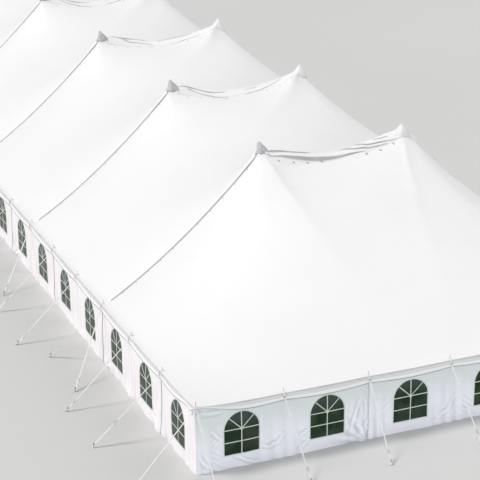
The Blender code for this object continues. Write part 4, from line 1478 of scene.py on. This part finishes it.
def addCorners():
    # the side wall laps round the corner and is held by a strip
    made = []
    outline = np.array(cornerProfile)
    zs = np.linspace(0.004, 1.06, 30)
    for sideX in (-1, 1):
        for sideY in (-1, 1):
            sheet, i, j = gridSheet(len(zs), len(outline))
            out, back = outline[j].T
            wave = 0.003 * np.sin(zs[i] * 7 + sideX + 2 * sideY) * np.clip(np.abs(out) / 0.03, 0, 1)
            lap = tent["halfWidth"] + out.clip(None, 0)
            x = sideX * np.where(j < 5, lap, tent["halfWidth"] + out + wave * (j > 6))
            y = sideY * (tent["halfLength"] - back) + sideY * wave * (j < 3)
            writePoints(sheet, np.column_stack((x, y, zs[i])))
            writeMap(sheet, np.column_stack((out, zs[i])))
            made.append(sheet)
    piece = joinPieces(made)
    thicken(piece, 0.0014, 0)
    finishPiece(cleanPiece(piece), wallVinyl, 50, name="cornerStrips")


poles = {
    "inset": 0.0176,
    "radius": 0.015,
    "shoulder": 1.1445,
    "pinRadius": 0.0062,
    "pinTop": 1.2445,
    "cornerStretch": 1.04,
    "ropeHeight": 1.1025,
    "ropeRadius": 0.003,
    "ropeInset": 0.0352,
    "ropeSag": 0.006,
}
centrePole = {
    "profile": [(0.0, 0.0062), (0.050, 0.0062), (0.052, 0.0075), (0.052, 0.016), (0.0505, 0.0175), (0.040, 0.018),
                (0.0375, 0.020), (0.0375, 0.075), (0.0355, 0.078), (0.032, 0.079), (0.032, 1.178), (0.0345, 1.181),
                (0.0345, 1.255), (0.032, 1.258), (0.032, 2.378), (0.0345, 2.381), (0.0345, 2.455), (0.032, 2.458),
                (0.032, 3.520), (0.038, 3.523), (0.038, 3.568), (0.050, 3.572), (0.0510, 3.577), (0.0510, 3.590),
                (0.0490, 3.5945), (0.0, 3.5945)],
    "plate": (0.18, 0.18, 0.006),
    "boltOff": 0.068,
    "boltHeight": 0.0098,
}


def metalMaterial(name, colour, shade, rough, metallic=0.85):
    made, tree, shader = newMaterial(name)
    place = objectPlace(tree)
    cloud = cloudsAt(tree, place, 14.0, 5.0, Roughness=0.6)
    streak = put(tree, "ShaderNodeMapping", {}, {"Vector": place, "Scale": (90.0, 90.0, 3.0)}).outputs[0]
    brushed = cloudsAt(tree, streak, 1.0, 3.0)
    setInputs(tree, shader, {
        "Base Color": mixColours(tree, mapRange(tree, cloud, 0.35, 0.7, 0, 1, True), colour, shade),
        "Roughness": mapRange(tree, brushed, 0.3, 0.7, rough - 0.08, rough + 0.12),
        "Normal": bumpOf(tree, brushed, 0.0003, 0.25),
        "Metallic": metallic,
    })
    return made


def webbingMaterial(name, colour, shade):
    made, tree, shader = newMaterial(name)
    flat = put(tree, "ShaderNodeUVMap", {"uv_map": "clothMap"}).outputs["UV"]
    place = objectPlace(tree)
    weave = put(tree, "ShaderNodeTexWave", {"bands_direction": "DIAGONAL"},
                {"Vector": flat, "Scale": 95.0, "Distortion": 1.5, "Detail": 1.0}).outputs["Fac"]
    base = mixColours(tree, mapRange(tree, cloudsAt(tree, place, 8.0, 5.0), 0.38, 0.7, 0, 1, True), colour, shade)
    grooves = mapRange(tree, weave, 0.2, 0.8, 0.88, 1.0)
    setInputs(tree, shader, {
        "Base Color": mixColours(tree, 1.0, base, grooves, "MULTIPLY"),
        "Normal": bumpOf(tree, weave, 0.0006, 0.5),
        "Roughness": 0.8,
        "Sheen Weight": 0.15,
    })
    return made


aluminium = metalMaterial("aluminium", (0.66, 0.67, 0.68), (0.52, 0.53, 0.54), 0.38)
steel = metalMaterial("galvanisedSteel", (0.50, 0.50, 0.51), (0.34, 0.34, 0.35), 0.5)
zincPlate = metalMaterial("zincPlate", (0.74, 0.73, 0.70), (0.56, 0.55, 0.53), 0.5, 0.4)
creamWebbing = webbingMaterial("creamWebbing", (0.88, 0.860, 0.805), (0.80, 0.775, 0.715))
whiteWebbing = webbingMaterial("whiteWebbing", (0.86, 0.86, 0.85), (0.76, 0.76, 0.75))


def sweep(path, profile, look, level=(0, 0, 1)):
    # a closed bar of one profile along a path. profile is (across, up) and its two ends are drawn together
    path = np.array(path, dtype=float)
    profile = np.array(profile, dtype=float)
    ahead = np.gradient(path, axis=0)
    ahead /= np.linalg.norm(ahead, axis=1)[:, None]
    across = np.cross(ahead, np.array(level, dtype=float))
    across /= np.linalg.norm(across, axis=1)[:, None]
    up = np.cross(across, ahead)
    path, across, up = (np.concatenate((rows[:1], rows, rows[-1:])) for rows in (path, across, up))
    sizes = np.ones(len(path))
    sizes[[0, -1]] = 0
    loop = np.concatenate((profile, profile[:1]))
    bar, i, j = gridSheet(len(path), len(loop))
    offset = loop[j] * sizes[i][:, None]
    writePoints(bar, path[i] + across[i] * offset[:, :1] + up[i] * offset[:, 1:])
    run = np.concatenate(([0], np.cumsum(np.linalg.norm(np.diff(path, axis=0), axis=1))))
    girth = np.concatenate(([0], np.cumsum(np.hypot(*np.diff(loop, axis=0).T))))
    writeMap(bar, np.column_stack((run[i], girth[j])))
    bar.data.materials.append(look)
    return bar


def roundProfile(radius, sides):
    angles = np.arange(sides) * 2 * math.pi / sides
    return np.column_stack((radius * np.cos(angles), radius * np.sin(angles)))


def strapProfile(width, depth):
    half, thick = width / 2, depth / 2
    return [(-half, 0), (-half * 0.93, thick), (0, thick * 1.08), (half * 0.93, thick), (half, 0),
            (half * 0.93, -thick), (0, -thick * 1.08), (-half * 0.93, -thick)]


def turned(profile, steps, look=None):
    # spins a profile of (radius, height) pairs about the upright axis
    piece = addShape(bpy.ops.mesh.primitive_plane_add, size=1)
    bpy.ops.object.mode_set(mode="EDIT")
    bpy.ops.mesh.select_all(action="SELECT")
    bpy.ops.mesh.merge(type="CENTER")
    bpy.ops.mesh.select_all(action="SELECT")
    bpy.ops.transform.translate(value=(profile[0][0], 0, profile[0][1]))
    for last, spot in zip(profile[:-1], profile[1:]):
        step = (spot[0] - last[0], 0, spot[1] - last[1])
        bpy.ops.mesh.extrude_vertices_move(TRANSFORM_OT_translate={"value": step})
    bpy.ops.mesh.select_all(action="SELECT")
    bpy.ops.mesh.spin(steps=steps, angle=2 * math.pi, center=(0, 0, 0), axis=(0, 0, 1), dupli=False)
    bpy.ops.object.mode_set(mode="OBJECT")
    if look:
        piece.data.materials.append(look)
    return cleanPiece(piece)


def bevelBox(size, place, width, segments=2):
    box = addShape(bpy.ops.mesh.primitive_cube_add, scale=size, size=1, location=place)
    return bevelEdges(box, width, segments)


def ring(major, minor, around, look, place=(0, 0, 0), turn=(0, 0, 0)):
    made = addShape(bpy.ops.mesh.primitive_torus_add, major_segments=around, minor_segments=8, major_radius=major,
                    minor_radius=minor, location=place, rotation=turn)
    made.data.materials.append(look)
    return made


def wallTurn(wall, along, out, height):
    # a frame on a wall: first axis along it, second outward, third up
    outward = wallOut(wall)
    up = Vector((0, 0, 1))
    away = wallSigns[wall] * ((tent["halfWidth"] if isSide(wall) else tent["halfLength"]) + out)
    place = (away, along, height) if isSide(wall) else (along, away, height)
    return Matrix.Translation(place) @ Matrix((outward.cross(up), outward, up)).transposed().to_4x4()


def sidePoleMaster():
    radius, pin, shoulder, top = poles["radius"], poles["pinRadius"], poles["shoulder"], poles["pinTop"]
    profile = [(0.0, 0.0), (0.021, 0.0), (0.022, 0.001), (0.022, 0.004), (0.0205, 0.0055), (0.0165, 0.006),
               (0.0165, 0.030), (radius, 0.0315), (radius, shoulder - 0.045), (0.0163, shoulder - 0.043),
               (0.0163, shoulder - 0.004), (0.0150, shoulder - 0.0005), (pin + 0.001, shoulder),
               (pin, shoulder + 0.001), (pin, top - 0.010), (pin * 0.82, top - 0.0035), (pin * 0.4, top - 0.0006),
               (0.0, top)]
    return turned(profile, 14, aluminium)


def eaveMaster():
    # webbing over the eave, with the grommet round the pin, a ring and a hook
    loop = [(0, -0.075, 0.0075), (0, -0.045, 0.0065), (0, -0.010, 0.0050), (0, 0.008, 0.0030), (0, 0.0215, -0.006),
            (0, 0.0255, -0.020), (0, 0.0262, -0.036)]
    hook = [(0, 0.026, -0.060), (0, 0.036, -0.063), (0, 0.040, -0.072), (0, 0.037, -0.083), (0, 0.031, -0.086)]
    return joinPieces([
        sweep(loop, strapProfile(0.040, 0.0034), whiteWebbing, level=(1, 0, 0)),
        ring(0.0115, 0.0036, 18, aluminium, (0, -0.0269, 0.0085)),
        ring(0.0095, 0.0045, 16, whiteWebbing, (0, -0.0269, 0.0165)),
        ring(0.0165, 0.0032, 22, steel, (0, 0.0285, -0.050), (math.pi / 2, 0, 0)),
        sweep(hook, roundProfile(0.0036, 7), steel, level=(1, 0, 0)),
    ])


def wallPoles(wall):
    limit = wallEnd(wall)
    if not isSide(wall):
        return [-limit + tent["bay"] * k for k in range(1, 6)]
    inner = [-limit + tent["bay"] * k for k in range(1, 18)]
    return [-limit + poles["inset"]] + inner + [limit - poles["inset"]]


def addSidePoles():
    master = sidePoleMaster()
    for wall in wallSigns:
        made = []
        for along in wallPoles(wall):
            # the corner poles stand a little taller
            stretch = poles["cornerStretch"] if abs(along) > tent["halfLength"] - 0.1 else 1.0
            made.append(copyPiece(master, wallTurn(wall, along, -poles["inset"], 0)
                                  @ Matrix.Scale(stretch, 4, (0, 0, 1))))
        limit = wallEnd(wall) - 0.05
        alongs = np.linspace(-limit, limit, 109 if isSide(wall) else 37)
        sag = -poles["ropeSag"] * np.abs(np.sin((alongs + limit) * np.pi / tent["bay"]))
        inset = np.full(len(alongs), -poles["ropeInset"])
        made.append(sweep(wallPlace(wall, alongs, poles["ropeHeight"] + sag, inset),
                          roundProfile(poles["ropeRadius"], 6), whiteWebbing))
        finishPiece(cleanPiece(joinPieces(made)), None, 35, node="side_poles_" + wall)
    removePieces([master])


def addCentrePoles():
    plate = centrePole["plate"]
    parts = [turned(centrePole["profile"], 24), bevelBox(plate, (0, 0, plate[2] / 2), 0.0012)]
    for x in (-centrePole["boltOff"], centrePole["boltOff"]):
        for y in (-centrePole["boltOff"], centrePole["boltOff"]):
            bolt = addShape(bpy.ops.mesh.primitive_cylinder_add, vertices=6, radius=0.009, depth=0.008,
                            location=(x, y, centrePole["boltHeight"]))
            parts.append(bevelEdges(bolt, 0.0012))
    master = joinPieces(parts)
    for number, laceY in enumerate(laceLines, 1):
        for side, word in ((-1, "left"), (1, "right")):
            pole = copyPiece(master, Matrix.Translation((side * tent["peakX"], laceY, 0)))
            finishPiece(pole, aluminium, 35, node="centre_pole_%d_%s" % (number, word))
    removePieces([master])


addSeams()
addCorners()
addSidePoles()
addCentrePoles()
print("poles made")

webbing = {
    # width and depth
    "upper": (0.0235, 0.0024),
    "lower": (0.034, 0.0056),
    "tail": (0.021, 0.0022),
    "ground": (0.021, 0.003),
    "startOut": 0.034,
    "startHeight": 1.092,
    "stakeHeight": 0.040,
    "stakeIn": 0.006,
    "ratchetShare": 0.84,
    "droop": 0.004,
}
guyReach = {"side": 1.2, "end": 0.925, "lace": 0.85, "apart": 0.0225, "spread": 0.74, "splay": 0.2}
# Stakes away from their usual place: wall, pole's place, which strap, then shift along and outward.
strayStakes = [
    ("left", -12.192, 0, 0.015, 0.015), ("left", -10.668, 0, -0.081, 0.012), ("left", -9.144, 0, -0.180, 0.012),
    ("left", -9.144, 1, -0.122, -0.004), ("left", -7.620, 0, -0.118, 0.043), ("front", -3.048, 0, 0.040, 0.060),
    ("front", -1.524, 0, -0.044, 0.010), ("front", 0.0, 0, 0.080, 0.050), ("right", -7.620, 0, 0.090, 0.030),
    ("right", 1.524, 0, -0.070, 0.020), ("back", -1.524, 0, 0.050, 0.020), ("left", 4.572, 0, -0.060, 0.010),
]
# One ratchet sits nearer the eave than the others.
highRatchet = {"wall": "left", "along": -12.192, "share": 0.66}


def ratchetMaster():
    # lies along x, on top of a strap, with its handle folded down
    parts = [bevelBox((0.060, 0.0030, 0.016), (0, y, 0.004), 0.0010, 1) for y in (-0.0175, 0.0175)]
    parts += [bevelBox((0.040, 0.0300, 0.0035), (0.014, 0, 0.0135), 0.0012, 1),
              bevelBox((0.012, 0.0420, 0.0060), (0.034, 0, 0.0150), 0.0020, 2)]
    for x, radius in ((-0.012, 0.0085), (-0.027, 0.0035), (0.026, 0.0035)):
        bar = addShape(bpy.ops.mesh.primitive_cylinder_add, vertices=12, radius=radius, depth=0.036,
                       location=(x, 0, 0.005), rotation=(math.pi / 2, 0, 0))
        parts.append(bevelEdges(bar, 0.0008))
    ratchet = joinPieces(parts)
    ratchet.data.materials.append(zincPlate)
    return ratchet


def stakeMaster():
    stake = turned([(0.0, 0.0), (0.0088, 0.0), (0.0088, 0.070), (0.0092, 0.074), (0.0128, 0.079), (0.0140, 0.083),
                    (0.0132, 0.087), (0.0085, 0.0895), (0.0, 0.0900)], 12, steel)
    points = readPoints(stake)
    # the head is worn by the hammer
    for row in np.nonzero(points[:, 2] > 0.076)[0]:
        wear = noise.noise(Vector(points[row]) * 90)
        points[row, :2] *= 1 + 0.12 * wear
        points[row, 2] += 0.0012 * wear
    writePoints(stake, points)
    return stake


def loopMaster():
    loop = ring(0.0125, 0.0045, 16, creamWebbing)
    writePoints(loop, readPoints(loop) * (1, 1, 2.2))
    return loop


def guyFeet(wall, along):
    # how far along the wall each strap of a pole starts and ends from it, and how far out it ends
    if not isSide(wall):
        return [(0.0, 0.0, guyReach["end"])]
    if min(abs(along - lace) for lace in laceLines) < 0.01:
        return [(side * guyReach["apart"], side * guyReach["spread"], guyReach["lace"]) for side in (-1, 1)]
    splay = math.copysign(guyReach["splay"], along) if abs(along) > tent["halfLength"] - 0.5 else 0.0
    return [(0.0, splay, guyReach["side"])]


def wallSpot(wall, along, height, out):
    return wallPlace(wall, *(np.array([value]) for value in (along, height, out)))[0]


def addGuy(wall, along, number, foot, masters, rng):
    shift, spread, reach = foot
    for name, place, strap, moveAlong, moveOut in strayStakes:
        if name == wall and strap == number and abs(place - along) < 0.01:
            spread, reach = spread + moveAlong, reach + moveOut
    start = wallSpot(wall, along + shift, webbing["startHeight"], webbing["startOut"])
    end = wallSpot(wall, along + spread, webbing["stakeHeight"], reach - webbing["stakeIn"])
    line = end - start
    share = webbing["ratchetShare"] + rng.uniform(-0.05, 0.05)
    if wall == highRatchet["wall"] and abs(along - highRatchet["along"]) < 0.01:
        share = highRatchet["share"]
    cut = start + line * share
    steps = np.linspace(0, 1, 12)[:, None]
    droop = np.sin(np.pi * steps) * np.array((0, 0, -webbing["droop"]))
    parts = [
        sweep(start + (cut - start) * steps + droop, strapProfile(*webbing["upper"]), whiteWebbing),
        sweep(cut + (end - cut) * np.linspace(0, 1, 7)[:, None], strapProfile(*webbing["lower"]), creamWebbing),
    ]
    level = Vector((0, 0, 1))
    forward = Vector(line / float(np.linalg.norm(line)))
    across = forward.cross(level).normalized()
    up = across.cross(forward)
    turn = Matrix((forward, -across, up)).transposed().to_4x4()
    parts.append(copyPiece(masters["ratchet"], Matrix.Translation(Vector(cut)) @ turn))
    # the tail of the strap hangs from its ratchet and ends above the ground
    hang = rng.uniform(0.09, 0.19)
    sway = across * rng.uniform(-0.03, 0.03)
    spot = Vector(cut) + forward * 0.030 - up * 0.004
    drop = min(hang, spot.z + forward.z * 0.016 - 0.008)
    tail = [
        spot,
        spot + forward * 0.018 - level * drop * 0.15,
        spot + forward * 0.024 - level * drop * 0.5 + sway * 0.6,
        spot + forward * 0.016 - level * drop + sway,
    ]
    parts.append(sweep(tail, strapProfile(*webbing["tail"]), creamWebbing, level=-forward))
    # the stake, the loop round it and the strap's end on the ground
    outward = Vector((forward.x, forward.y, 0)).normalized()
    base = Vector((end[0], end[1], 0)) + outward * webbing["stakeIn"]
    lean = Matrix.Rotation(math.radians(rng.uniform(3, 9)), 4, across)
    parts.append(copyPiece(masters["stake"], Matrix.Translation(base) @ lean))
    parts.append(copyPiece(masters["loop"], Matrix.Translation(base + level * 0.040)))
    curl = rng.uniform(-0.5, 0.5)
    sideways = across * (1 if rng.random() < 0.6 else -1)
    ground = [
        base + level * 0.034 + outward * 0.012,
        base + level * 0.010 + outward * 0.022 + sideways * 0.020,
        base + level * 0.0035 + outward * (0.024 + 0.012 * curl) + sideways * 0.050,
        base + level * 0.0035 + outward * (0.020 + 0.030 * curl) + sideways * 0.085,
    ]
    parts.append(sweep(ground, strapProfile(*webbing["ground"]), whiteWebbing))
    return parts


def addGuys():
    masters = {"ratchet": ratchetMaster(), "stake": stakeMaster(), "loop": loopMaster(), "eave": eaveMaster()}
    rng = np.random.default_rng(21)
    for wall in wallSigns:
        parts = []
        spots = wallPoles(wall)
        if not isSide(wall):
            edge = tent["halfWidth"] - poles["inset"]
            spots = [-edge] + spots + [edge]
        for along in spots:
            parts.append(copyPiece(masters["eave"], wallTurn(wall, along, tent["edge"], tent["eave"])))
            for number, foot in enumerate(guyFeet(wall, along)):
                parts += addGuy(wall, along, number, foot, masters, rng)
        finishPiece(cleanPiece(joinPieces(parts)), None, 45, node="guys_" + wall)
    removePieces(masters.values())


addGuys()
print("guys made")
